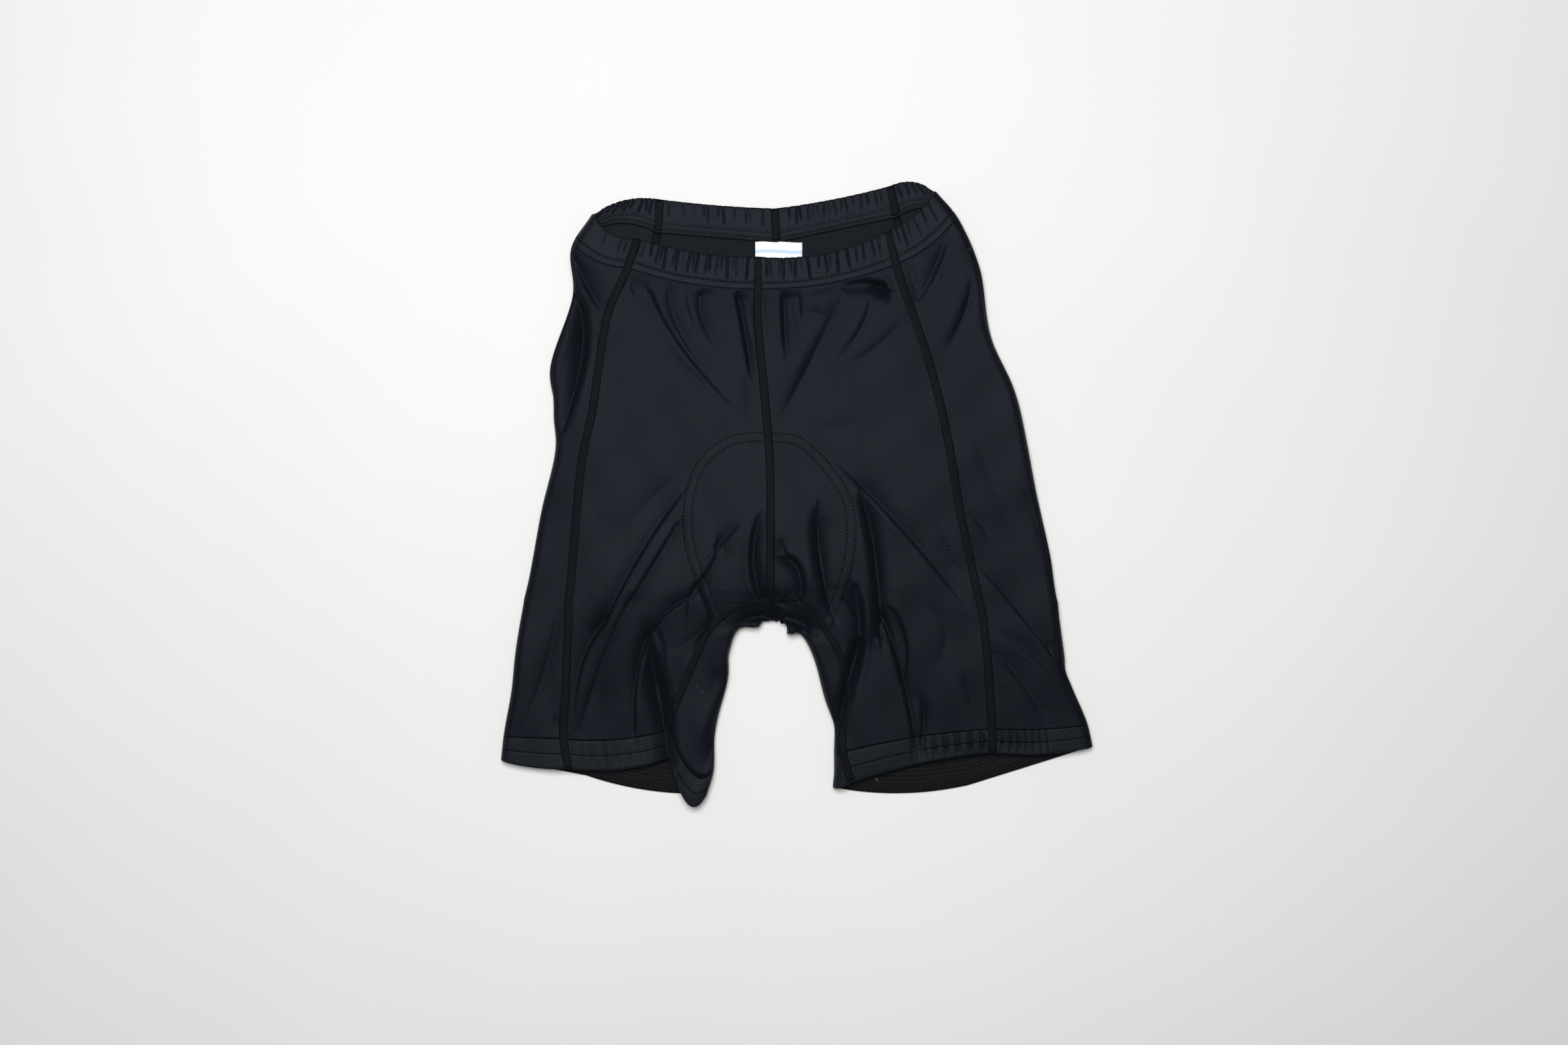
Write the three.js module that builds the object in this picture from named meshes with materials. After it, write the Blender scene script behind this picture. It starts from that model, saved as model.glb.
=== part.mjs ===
// Padded cycling shorts laid flat with the front up. Eight panels run from the waist casing to
// the gripper hems, and a folded seat pad lies between the layers. Millimetres, +Z up, +X to the
// wearer's left, +Y to the waist, origin under the middle of the whole.
import * as THREE from "three";

// Driving sizes
const CLOTH = 1.2; // one panel's wall
const CASING = 2.4; // waist casing over its elastic
const HEM = 2.0; // turned hem over its gripper tape
const SEAM_GAP = 0.3; // between two pieces at a seam
const GATHER_DEPTH = 1.2; // of a gather in the waist casing
const HEM_GATHER_DEPTH = 0.7;
const SIDE_FOLD_REACH = 7; // how far the outer fold rounds in from its edge
const INNER_FOLD_REACH = 5;
const LOWEST_TOP = 4.4; // the upper layer's lowest point, in the deepest fold
const SWELL = 0.5; // slow unevenness of the upper layer
const LABEL = { width: 33.5, drop: 29, thick: 1.0, right: -29.5, top: 178.5, wave: 0.4 };
const PAD_CLEAR = 0.5; // from the lowest place of the front panels near it to the pad
const PAD_FLOOR = CLOTH + SEAM_GAP;

const BLACK = new THREE.Color(0.022, 0.025, 0.033);
const cloth = { color: BLACK, roughness: 0.62, metalness: 0 };
const elastic = { color: BLACK, roughness: 0.7, metalness: 0 };
const white = { color: new THREE.Color(0.86, 0.88, 0.9), roughness: 0.55, metalness: 0 };
const foam = { color: new THREE.Color(0.05, 0.05, 0.055), roughness: 0.9, metalness: 0 };

const table = (columns, rows) =>
  rows.map((row) => Object.fromEntries(columns.map((column, index) => [column, row[index]])));

// Cross sections from waist to hem. run is the way down the side front seam. centre and side are
// the upper layer's heights at the inner edge and at the side front seam, fold the outer fold's
// height, lapTop and innerFold the heights of the cloth that laps round from the back to the
// inseam. lap says how far that cloth goes: 0 ends on the floor at the centre back, 1 at the
// crotch's edge, 2 on top of it, 3 at the inseam.
const SECTIONS = table(
  ["name", "run", "centre", "side", "fold", "lapTop", "innerFold", "lap"],
  [
    ["waist edge", 0, 14, 14, 13, 0, 0, 0],
    ["band seam", 23.5, 14, 14, 13, 0, 0, 0],
    ["high hip", 55, 14, 14, 13, 0, 0, 0],
    ["hip", 90, 14, 13.5, 13, 0, 0, 0],
    ["low hip", 122, 14.5, 13.5, 12.5, 0, 0, 0],
    ["seat", 159, 16, 13.5, 12.5, 0, 0, 0],
    ["low seat", 196, 18, 13, 12.5, 0, 0, 0],
    ["rise", 230, 19, 13, 12.5, 0, 0, 0],
    ["under rise", 248.5, 19, 13, 12.5, 0, 0, 0],
    ["crotch fold", 257, 19, 13, 12.5, 0, 15, 1],
    ["crotch turn", 261, 19, 13, 12.5, 16, 15, 2],
    ["crotch", 265, 18.5, 13, 12.5, 16, 15, 3],
    ["high thigh", 278.5, 17, 13, 12.5, 15.5, 14, 3],
    ["thigh", 295.5, 15, 13, 12.5, 14.5, 13, 3],
    ["low thigh", 323.5, 13.5, 13, 12, 13.5, 12, 3],
    ["hem line", 353, 13, 12.5, 11.5, 13, 11.5, 3],
    ["hem edge", 372, 12.5, 12, 11, 12.5, 11, 3],
  ]
);

// Where each section goes on each half, seen from above: c the centre front or inseam, f the side
// front seam, e the outer edge, b the side back seam, k the centre back or inner edge, m the middle
// of the lapped cloth. turn is the side seam's place round the outer fold, 0 on top, 50 outermost,
// 100 underneath. The bows swell each stretch out of its straight line.
const PLAN = [
  "name", "cx", "cy", "fx", "fy", "ex", "ey", "bx", "by", "kx", "ky", "mx", "my",
  "turn", "bowFront", "bowSide", "bowUnder", "bowBack",
];
const RIGHT = table(PLAN, [
  ["waist edge", -27.5, 167, -113, 180, -144.5, 198.5, -97.5, 209, -15.5, 202.5, 0, 0, 60, 3.5, 6.5, 5, -1],
  ["band seam", -27.5, 143.5, -120, 158, -159, 175, -99, 186.5, -14.5, 179.5, 0, 0, 50, 4, 4, 12, 0],
  ["high hip", -28, 125.5, -133, 128, -158.5, 140, -109.5, 142.5, -14.5, 142.5, 0, 0, 55, 0, 0, 0, 0],
  ["hip", -25, 92.5, -139.5, 92.5, -174.5, 87.5, -117.5, 106.5, -14.5, 106.5, 0, 0, 50, 0, 0, 0, 0],
  ["low hip", -22, 60.5, -144, 60.5, -172.5, 57, -123.5, 68.5, -14.5, 71, 0, 0, 90, 0, 0, 0, 0],
  ["seat", -19, 23.5, -151.5, 23.5, -171.5, 28.5, -128.5, 30.5, -14.5, 33, 0, 0, 100, 0, 0, 0, 0],
  ["low seat", -18.5, -14.5, -155.5, -13.5, -181, -12, -132.5, -7.5, -14.5, -5, 0, 0, 100, 0, 0, 0, 0],
  ["rise", -18.5, -47.5, -158.5, -47.5, -187.5, -47.5, -135, -43, -14.5, -45.5, 0, 0, 100, 0, 0, 0, 0],
  ["under rise", -18.5, -61, -160, -66.5, -190.5, -63, -137, -63.5, -14.5, -80, 0, 0, 100, 0, 0, 0, 0],
  ["crotch fold", -18.5, -67, -161, -75, -192.5, -71.5, -138, -73, -14.5, -91, 0, 0, 100, 0, 0, 0, 0],
  ["crotch turn", -18.5, -70, -161.5, -79, -193.5, -75.5, -138.5, -78, -19, -91.5, -16.5, -83.5, 100, -2, 0, 0, 0],
  ["crotch", -18.5, -73, -161.5, -82, -194, -79, -139, -82, -24.5, -91.5, -22, -83, 100, -2, 0, 0, 0],
  ["high thigh", -37, -78, -161.5, -95, -196.5, -93, -140, -96, -40, -96, -39, -87, 100, 0, 0, 0, 0],
  ["thigh", -57.5, -91, -162.5, -112, -199.5, -112, -141.5, -116.5, -47.5, -112, -51, -102.5, 100, 0, 0, 0, 0],
  ["low thigh", -76, -127.5, -163.5, -140.5, -202.5, -140.5, -144, -146.5, -50, -138, -61.5, -129.5, 100, 0, 0, 0, 0],
  ["hem line", -91, -167.5, -165, -173.5, -208, -172, -147.5, -180.5, -58.5, -194, -72.5, -198.5, 100, 3.5, 0, 0, -3],
  ["hem edge", -90, -188.5, -161.5, -195.5, -210, -190, -150, -201, -63.5, -214, -77, -220.3, 100, 4, 2, 0, -4],
]);
const LEFT = table(PLAN, [
  ["waist edge", -27.5, 167, 64.5, 185.5, 98, 214.5, 66.5, 218.5, -15.5, 202.5, 0, 0, 30, 7, 4, 5, -1.5],
  ["band seam", -27.5, 143.5, 70.5, 160.5, 114.5, 195, 71, 197.5, -14.5, 179.5, 0, 0, 20, 5, 4, 8, 0],
  ["high hip", -28, 125.5, 81.5, 128, 129.5, 159, 79, 152, -14.5, 142.5, 0, 0, 40, 0, 0, 0, 0],
  ["hip", -25, 92.5, 93.5, 92.5, 137.5, 111.5, 86.5, 114, -14.5, 106.5, 0, 0, 65, 0, 0, 0, 0],
  ["low hip", -22, 60.5, 102, 60.5, 154, 74.5, 93, 71, -14.5, 71, 0, 0, 85, 0, 0, 0, 0],
  ["seat", -19, 23.5, 109.5, 23.5, 164, 33, 98, 32, -14.5, 33, 0, 0, 85, 0, 0, 0, 0],
  ["low seat", -18.5, -14.5, 115.5, -13.5, 172, -9.5, 102.5, -7.5, -14.5, -5, 0, 0, 65, 0, 0, 0, 0],
  ["rise", -18.5, -47.5, 123, -47.5, 180, -47.5, 106.5, -45.5, -14.5, -45.5, 0, 0, 45, 0, 0, 0, 0],
  ["under rise", -18.5, -61, 126.5, -65.5, 182.5, -65.5, 108.5, -64.5, -14.5, -80, 0, 0, 38, 0, 0, 0, 0],
  ["crotch fold", -18.5, -67, 128.5, -74, 184, -74, 109.5, -74, -14.5, -91, 0, 0, 34, -5, 0, 0, 0],
  ["crotch turn", -18.5, -70, 129.5, -78.5, 185, -78, 110, -78.5, -10.5, -92.5, -16.5, -83.5, 32, -7, 0, 0, 0],
  ["crotch", -18.5, -73, 130.5, -82.5, 185.5, -82, 110.5, -82.5, -7, -95.5, -12, -84, 30, -9, 0, 0, 0],
  ["high thigh", 3, -76, 132.5, -96, 187.5, -96.5, 112, -97.5, 2, -100, 4, -88, 20, -5, 0, 0, 0],
  ["thigh", 17.5, -92.5, 134.5, -114, 190, -115, 114, -119, 9.5, -111, 14, -101.5, 10, 0, 0, 0, 0],
  ["low thigh", 34.5, -128.5, 136.5, -141.5, 195, -138, 116.5, -148.5, 20, -146.5, 28, -138, 45, 0, 0, 0, 0],
  ["hem line", 32.5, -182.5, 138, -166.5, 206, -164, 119.5, -186.5, 26.5, -186.5, 29, -185, 35, -2.5, 1.5, 0, -4],
  ["hem edge", 38.5, -205, 138.5, -184, 210, -180.5, 122, -208, 25.5, -209.5, 32, -208.5, 30, -3, 3, 0, -5],
]);

// The upper layer's largest folds, each a bent line through three places. A minus depth is a ridge.
const FOLDS = table(
  ["name", "x0", "y0", "x1", "y1", "x2", "y2", "width", "depth"],
  [
    ["right hip pouch", -156, 135, -150, 95, -166, 40, 5, 6],
    ["right side dart", -157, 166, -149, 148, -140, 132, 4, 3],
    ["right belly drag", -103, 140, -71, 92, -40, 56, 4, 3.5],
    ["right belly drag, second", -87, 115, -69, 97, -50, 78, 4, 2],
    ["right band pleat", -89, 147, -86, 128, -80, 111, 4, 3],
    ["right band pleat, second", -63, 140, -70, 126, -50, 90, 4, 3],
    ["centre pleat", -42, 140, -34, 109, -33, 73, 4, 4.5],
    ["left band pleat", -9, 142, -8, 123, -6, 107, 4, 4],
    ["left band puff", 9, 127, 26, 135, 45, 137, 9, -2.5],
    ["left tuck under the band", 35, 147, 52, 146, 64, 138, 4, 4.5],
    ["left belly drag", 25, 126, 5, 92, -14, 47, 6, 4],
    ["left belly drag, second", 50, 137, 40, 116, 25, 95, 4, 3],
    ["left side dart", 107, 187, 100, 161, 88, 138, 4, 4],
    ["left side hollow", 121, 164, 119, 133, 108, 102, 6, 4],
    ["left outer hollow", 121, 47, 145, -14, 173, -79, 10, 3],
    ["pad crease", -55, -38, -70, -67, -76, -88, 4, 2.5],
    ["right long tuck", -74, -73, -108, -100, -115, -166, 4, 4.5],
    ["right of the centre seam", -27, -22, -31, -45, -26, -71, 4, 5],
    ["left of the centre seam", -12, -33, -3, -52, 4, -71, 4, 5],
    ["pad hollow", 13, -12, 17, -48, 26, -88, 7, 6],
    ["right thigh crease", -79, -1, -119, -62, -158, -147, 4, 4],
    ["right thigh crease, second", -86, -24, -109, -62, -133, -95, 4, 2.5],
    ["right thigh hollow", -93, -57, -126, -100, -154, -166, 6, 3],
    ["right outer hollow", -169, -90, -181, -133, -198, -171, 7, 2.5],
    ["right soft hollow", -83, 12, -109, -12, -128, -43, 7, 2],
    ["right inner valley", -100, -112, -91, -150, -86, -193, 8, 7.5],
    ["right lap hollow", -76, -152, -77, -171, -76, -193, 5, 2],
    ["left thigh crease", 26, 21, 71, -22, 119, -87, 5, 4.5],
    ["left thigh trough", 46, -4, 55, -52, 59, -102, 7, 6.5],
    ["left thigh trough, lower", 62, -90, 75, -124, 84, -190, 4, 4.5],
    ["left inner valley", 39, -62, 48, -100, 27, -166, 5, 6.5],
    ["left inner ridge", 46, -57, 53, -100, 36, -171, 5, -2],
    ["left knee hollow", 88, -76, 96, -98, 100, -121, 6, 2.5],
    ["left outer drag", 124, -43, 154, -86, 192, -128, 4, 2],
    ["left low hollow", 140, -112, 161, -136, 176, -161, 5, 2.5],
  ]
);

// Gathers in the waist casing, counted from the centre front round to the centre back.
const GATHERS = table(
  ["hand", "centreFront", "sideFront", "sideBack", "centreBack"],
  [
    ["right", 16, 4, 7, 9],
    ["left", 14, 6, 5, 13],
  ]
);

// The pad's half widths, as a share of the way from the centre front to the side front seam.
const PAD = table(
  ["run", "right", "left"],
  [
    [140.5, 0.05, 0.05],
    [146, 0.22, 0.2],
    [154, 0.34, 0.29],
    [168, 0.41, 0.37],
    [184, 0.44, 0.42],
    [200, 0.45, 0.445],
    [217, 0.44, 0.44],
    [234, 0.41, 0.41],
    [250, 0.36, 0.38],
    [262, 0.33, 0.35],
  ]
);

const RUNS = SECTIONS.map((section) => section.run);
const runOf = (name) => SECTIONS.find((section) => section.name === name).run;
const BAND_SEAM = runOf("band seam");
const CROTCH = runOf("crotch");
const HEM_LINE = runOf("hem line");
const HEM_EDGE = runOf("hem edge");
const CURVE_STEPS = 24;

const mix = (a, b, t) => a + (b - a) * t;
const minus = (a, b) => a.map((value, axis) => value - b[axis]);
const along = (a, direction, distance) => a.map((value, axis) => value + direction[axis] * distance);
const size = (a) => Math.hypot(...a);
const unit = (a) => a.map((value) => value / (size(a) || 1));
const dot = (a, b) => a.reduce((sum, value, axis) => sum + value * b[axis], 0);
const cross = (a, b) => [
  a[1] * b[2] - a[2] * b[1],
  a[2] * b[0] - a[0] * b[2],
  a[0] * b[1] - a[1] * b[0],
];

// How far a fold has opened at a distance in from its edge: 0 at the edge, 1 where it is flat.
function opened(distance, reach) {
  return distance >= reach ? 1 : Math.sqrt(1 - (1 - distance / reach) ** 2);
}

// Even steps that crowd towards the last one, for a stretch that ends at a fold's edge.
const crowded = Array.from({ length: CURVE_STEPS + 1 }, (_, step) => 1 - (1 - step / CURVE_STEPS) ** 2);

function bowed(from, to, bow, hand, t) {
  const [dx, dy] = unit([to[0] - from[0], to[1] - from[1]]);
  const swell = bow * 4 * t * (1 - t) * hand;
  return [mix(from[0], to[0], t) - dy * swell, mix(from[1], to[1], t) + dx * swell];
}

// The front stretch, from the inner edge to the side front seam. Points are x, y, z and how much
// of the upper layer's folds they take.
function frontCurve(plan, section, hand) {
  const steps = [0, 0.2, 0.4, 0.6, 0.8, 1];
  return steps.map((t) => {
    const [x, y] = bowed([plan.cx, plan.cy], [plan.fx, plan.fy], plan.bowFront, hand, t);
    return [x, y, mix(section.centre, section.side, t), 1];
  });
}

// From the side front seam over the outer fold to the side back seam on the floor.
function sideCurve(plan, section, hand) {
  const edge = [plan.ex, plan.ey];
  const upper = crowded.map((t) => {
    const [x, y] = bowed([plan.fx, plan.fy], edge, plan.bowSide, hand, t);
    const open = opened(Math.hypot(x - edge[0], y - edge[1]), SIDE_FOLD_REACH);
    return [x, y, (mix(section.side, section.fold, t) * (1 + open)) / 2, open];
  });
  const lower = crowded.map((t) => {
    const [x, y] = bowed([plan.bx, plan.by], edge, plan.bowUnder, -hand, t);
    const open = opened(Math.hypot(x - edge[0], y - edge[1]), SIDE_FOLD_REACH);
    return [x, y, (section.fold * (1 - open)) / 2, 0];
  });
  return upper.concat(lower.reverse().slice(1));
}

// From the side back seam along the floor to the centre back, and on the legs over the inner fold.
function backCurve(plan, section, hand) {
  const edge = [plan.kx, plan.ky];
  const reach = section.lap ? INNER_FOLD_REACH : 0;
  const lower = crowded.map((t) => {
    const [x, y] = bowed([plan.bx, plan.by], edge, plan.bowBack, hand, t);
    const open = opened(Math.hypot(x - edge[0], y - edge[1]), reach);
    return [x, y, (section.innerFold * (1 - open)) / 2, 0];
  });
  if (section.lap < 2) return lower;
  const upper = crowded.map((t) => 1 - t).reverse().map((t) => {
    const whole = section.lap === 2 ? t / 2 : t;
    const [start, middle, end] = [(1 - whole) * (1 - 2 * whole), 4 * whole * (1 - whole), whole * (2 * whole - 1)];
    const x = start * plan.kx + middle * plan.mx + end * plan.cx;
    const y = start * plan.ky + middle * plan.my + end * plan.cy;
    const z = start * section.innerFold + middle * section.lapTop + end * section.centre;
    const open = opened(Math.hypot(x - edge[0], y - edge[1]), reach);
    return [x, y, (z * (1 + open)) / 2, open];
  });
  return lower.concat(upper.slice(1));
}

// A curve with its length measured, so that a point can be taken at a share of it.
function measured(points) {
  const lengths = [0];
  points.slice(1).forEach((point, index) => {
    lengths.push(lengths[index] + size(minus(point, points[index]).slice(0, 3)));
  });
  return { points, lengths, total: lengths[lengths.length - 1] };
}

function at(curve, share) {
  const wanted = Math.min(Math.max(share, 0), 1) * curve.total;
  let index = 1;
  while (index < curve.lengths.length - 1 && curve.lengths[index] < wanted) index += 1;
  const span = curve.lengths[index] - curve.lengths[index - 1] || 1;
  const t = (wanted - curve.lengths[index - 1]) / span;
  return curve.points[index - 1].map((value, axis) => mix(value, curve.points[index][axis], t));
}

// Each half's sections as curves: w counts the seams, 0 centre front or inseam, 1 side front,
// 2 side, 3 side back, 4 centre back or inseam again.
function sectionCurves(rows, hand) {
  return rows.map((plan, index) => {
    const section = SECTIONS[index];
    const side = measured(sideCurve(plan, section, hand));
    const quarter = (Math.PI / 2) * Math.hypot(SIDE_FOLD_REACH, section.fold / 2) * Math.SQRT1_2;
    const edge = side.lengths[CURVE_STEPS];
    return {
      front: measured(frontCurve(plan, section, hand)),
      side,
      split: (edge + ((plan.turn - 50) / 50) * quarter) / side.total,
      back: measured(backCurve(plan, section, hand)),
      seen: new Map(),
    };
  });
}
const HALVES = { 1: sectionCurves(RIGHT, 1), "-1": sectionCurves(LEFT, -1) };

function sectionPoint(curves, w) {
  if (!curves.seen.has(w)) {
    let point;
    if (w <= 1) point = at(curves.front, w);
    else if (w <= 2) point = at(curves.side, (w - 1) * curves.split);
    else if (w <= 3) point = at(curves.side, mix(curves.split, 1, w - 2));
    else point = at(curves.back, w - 3);
    curves.seen.set(w, point);
  }
  return curves.seen.get(w);
}

// The smooth surface through one half's sections.
function lofted(hand, run, w) {
  const rows = HALVES[hand];
  let index = 0;
  while (index < RUNS.length - 2 && run > RUNS[index + 1]) index += 1;
  const point = (i) => sectionPoint(rows[i], w);
  const slope = (i) => {
    const before = i > 0 ? RUNS[i] - RUNS[i - 1] : 0;
    const after = i < RUNS.length - 1 ? RUNS[i + 1] - RUNS[i] : 0;
    return point(i).map((value, axis) => {
      const back = before ? (value - point(i - 1)[axis]) / before : 0;
      const ahead = after ? (point(i + 1)[axis] - value) / after : 0;
      return (back * after + ahead * before) / (before + after) + (before && after ? 0 : back + ahead);
    });
  };
  const span = RUNS[index + 1] - RUNS[index];
  const t = (run - RUNS[index]) / span;
  const [from, to, leave, arrive] = [point(index), point(index + 1), slope(index), slope(index + 1)];
  return from.map((value, axis) => {
    const bend = value * (1 + 2 * t) * (1 - t) ** 2 + to[axis] * t * t * (3 - 2 * t);
    return bend + span * (leave[axis] * t * (1 - t) ** 2 - arrive[axis] * t * t * (1 - t));
  });
}

// Both halves meet on one centre front and one centre back line down to the crotch, and below it
// each leg's front and back meet on one inseam.
function joined(hand, run, w) {
  const point = lofted(hand, run, w);
  if (w > 1 && w < 3) return point;
  const end = w <= 1 ? 0 : 4;
  const share = (1 - Math.abs(w - end)) ** 3 / 2;
  const own = lofted(hand, run, end);
  const other = run <= CROTCH ? lofted(-hand, run, end) : lofted(hand, run, 4 - end);
  return point.map((value, axis) => value + (other[axis] - own[axis]) * share);
}

// A fold as a short chain of places, with the share of its length at each.
const foldLines = FOLDS.map((fold) => {
  const places = Array.from({ length: 13 }, (_, step) => {
    const t = step / 12;
    const [a, b, c] = [(1 - t) * (1 - 2 * t), 4 * t * (1 - t), t * (2 * t - 1)];
    return [a * fold.x0 + b * fold.x1 + c * fold.x2, a * fold.y0 + b * fold.y1 + c * fold.y2, t];
  });
  return { ...fold, places };
});

function foldDrop(x, y) {
  let drop = 0;
  for (const fold of foldLines) {
    let nearest = Infinity;
    let share = 0;
    fold.places.slice(1).forEach((end, index) => {
      const start = fold.places[index];
      const [dx, dy] = [end[0] - start[0], end[1] - start[1]];
      const raw = ((x - start[0]) * dx + (y - start[1]) * dy) / (dx * dx + dy * dy);
      const t = Math.min(Math.max(raw, 0), 1);
      const distance = Math.hypot(x - start[0] - dx * t, y - start[1] - dy * t);
      if (distance < nearest) {
        nearest = distance;
        share = mix(start[2], end[2], t);
      }
    });
    if (nearest < fold.width * 3) {
      drop += fold.depth * Math.sqrt(Math.sin(Math.PI * share) + 0.02) * Math.exp(-((nearest / fold.width) ** 2));
    }
  }
  return drop;
}

function surface(hand, run, w) {
  const [x, y, base, top] = joined(hand, run, w);
  const upper = Math.min(Math.max(top, 0), 1);
  const swell = SWELL * (Math.sin(x / 19 + y / 47) + Math.sin(y / 23 - x / 61));
  const height = Math.max(base, 0) - upper * (foldDrop(x, y) + swell);
  return [x, y, Math.max(height, upper * LOWEST_TOP, 0)];
}

// The surface past a half's own edges: the other half, or the same leg's other side.
function reached(hand, run, w) {
  if (w >= 0 && w <= 4) return surface(hand, run, w);
  if (run <= CROTCH) return surface(-hand, run, w < 0 ? -w : 8 - w);
  return surface(hand, run, w < 0 ? w + 4 : w - 4);
}

function outward(hand, run, w) {
  const [stepRun, stepAround] = [1.5, 0.012];
  const [first, last] = run <= CROTCH ? [0, CROTCH] : [CROTCH, HEM_EDGE];
  const [before, after] = [Math.max(run - stepRun, first), Math.min(run + stepRun, last)];
  const down = minus(surface(hand, after, w), surface(hand, before, w));
  const round = minus(reached(hand, run, w + stepAround), reached(hand, run, w - stepAround));
  return unit(cross(down, round)).map((value) => -value * hand);
}

// A closed wall from a grid of outer points and one of inner points, pulled in from its seams.
function closedWall(outer, inner) {
  const [rows, columns] = [outer.length, outer[0].length];
  const pullIn = (edge, next, previous, following) => {
    const line = unit(minus(following, previous));
    const inward = minus(next, edge);
    const square = unit(inward.map((value, axis) => value - line[axis] * dot(inward, line)));
    return square.map((value) => (value * SEAM_GAP) / 2);
  };
  const pulls = [];
  for (const [column, beside] of [[0, 1], [columns - 1, columns - 2]]) {
    for (let row = 0; row < rows; row += 1) {
      const [up, down] = [Math.max(row - 1, 0), Math.min(row + 1, rows - 1)];
      const pull = pullIn(outer[row][column], outer[row][beside], outer[up][column], outer[down][column]);
      pulls.push([row, column, pull]);
    }
  }
  for (const [row, beside] of [[0, 1], [rows - 1, rows - 2]]) {
    for (let column = 0; column < columns; column += 1) {
      const [left, right] = [Math.max(column - 1, 0), Math.min(column + 1, columns - 1)];
      const pull = pullIn(outer[row][column], outer[beside][column], outer[row][left], outer[row][right]);
      pulls.push([row, column, pull]);
    }
  }
  for (const [row, column, pull] of pulls) {
    for (const grid of [outer, inner]) {
      const [x, y, z] = along(grid[row][column], pull, 1);
      grid[row][column] = [x, y, Math.max(z, 0)];
    }
  }

  const positions = outer.flat().concat(inner.flat()).flat();
  const index = [];
  const out = (row, column) => row * columns + column;
  const under = (row, column) => rows * columns + out(row, column);
  const quad = (a, b, c, d) => index.push(a, b, c, a, c, d);
  for (let row = 0; row < rows - 1; row += 1) {
    for (let column = 0; column < columns - 1; column += 1) {
      const [r, c] = [row + 1, column + 1];
      quad(out(row, column), out(r, column), out(r, c), out(row, c));
      quad(under(row, column), under(row, c), under(r, c), under(r, column));
    }
    quad(out(row, 0), under(row, 0), under(row + 1, 0), out(row + 1, 0));
    const last = columns - 1;
    quad(out(row, last), out(row + 1, last), under(row + 1, last), under(row, last));
  }
  for (let column = 0; column < columns - 1; column += 1) {
    quad(out(0, column), out(0, column + 1), under(0, column + 1), under(0, column));
    const last = rows - 1;
    quad(out(last, column), under(last, column), under(last, column + 1), out(last, column + 1));
  }
  return facingOut(positions, index);
}

function facingOut(positions, index) {
  const corner = (i) => positions.slice(3 * i, 3 * i + 3);
  let volume = 0;
  for (let i = 0; i < index.length; i += 3) {
    volume += dot(corner(index[i]), cross(corner(index[i + 1]), corner(index[i + 2])));
  }
  if (volume < 0) {
    for (let i = 0; i < index.length; i += 3) [index[i], index[i + 1]] = [index[i + 1], index[i]];
  }
  const geometry = new THREE.BufferGeometry();
  geometry.setAttribute("position", new THREE.Float32BufferAttribute(positions, 3));
  geometry.setIndex(index);
  geometry.computeVertexNormals();
  return geometry;
}

// A wall of cloth over the given columns and runs. Relief cuts into its outside or its inside.
function wallGeometry(columns, runs, thick, relief = () => 0, inside = false) {
  const outer = [];
  const inner = [];
  for (const run of runs) {
    const places = columns.map(({ hand, w }) => [surface(hand, run, w), outward(hand, run, w)]);
    const cuts = columns.map((column) => relief(column, run));
    outer.push(places.map(([point, normal], i) => along(point, normal, inside ? 0 : -cuts[i])));
    inner.push(places.map(([point, normal], i) => along(point, normal, -thick + (inside ? cuts[i] : 0))));
  }
  return closedWall(outer, inner);
}

const even = (from, to, count) => Array.from({ length: count + 1 }, (_, step) => mix(from, to, step / count));
const LEG_STEPS = even(CROTCH, HEM_LINE, 9).slice(1);
const PANEL_RUNS = [
  ...even(BAND_SEAM, runOf("rise"), 21),
  ...even(runOf("rise"), CROTCH, 4).slice(1),
  ...LEG_STEPS,
];
const BACK_RUNS = [
  ...even(BAND_SEAM, runOf("low seat"), 8),
  ...even(runOf("low seat"), runOf("under rise"), 3).slice(1),
  ...even(runOf("under rise"), CROTCH, 8).slice(1),
  ...LEG_STEPS,
];
const SIDE_RUNS = [...even(BAND_SEAM + 2 * SEAM_GAP, CROTCH, 18), ...LEG_STEPS];
const FRONT_SIDE = [1, 1.2, 1.4, 1.58, 1.72, 1.82, 1.91, 2];
const BACK_SIDE = [2, 2.05, 2.1, 2.15, 2.2, 2.27, 2.38, 2.62, 3];
const FRONT_CENTRE = even(0, 1, 13);
const BACK_CENTRE = [3, 3.18, 3.36, 3.5, 3.58, 3.65, 3.71, 3.76, 3.81, 3.85, 3.89, 3.93, 3.96, 4];

const shorts = new THREE.Group();
function add(name, geometry, finish) {
  const mesh = new THREE.Mesh(geometry, new THREE.MeshStandardMaterial(finish));
  mesh.name = name;
  shorts.add(mesh);
}

const SIDES = [["right", 1], ["left", -1]];
const columnsAt = (hand, places) => places.map((w) => ({ hand, w }));

// Eight panels
for (const [side, hand] of SIDES) {
  add(`front_centre_${side}`, wallGeometry(columnsAt(hand, FRONT_CENTRE), PANEL_RUNS, CLOTH), cloth);
  add(`front_side_${side}`, wallGeometry(columnsAt(hand, FRONT_SIDE), SIDE_RUNS, CLOTH), cloth);
  add(`back_side_${side}`, wallGeometry(columnsAt(hand, BACK_SIDE), SIDE_RUNS, CLOTH), cloth);
  add(`back_centre_${side}`, wallGeometry(columnsAt(hand, BACK_CENTRE), BACK_RUNS, CLOTH), cloth);
}

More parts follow.
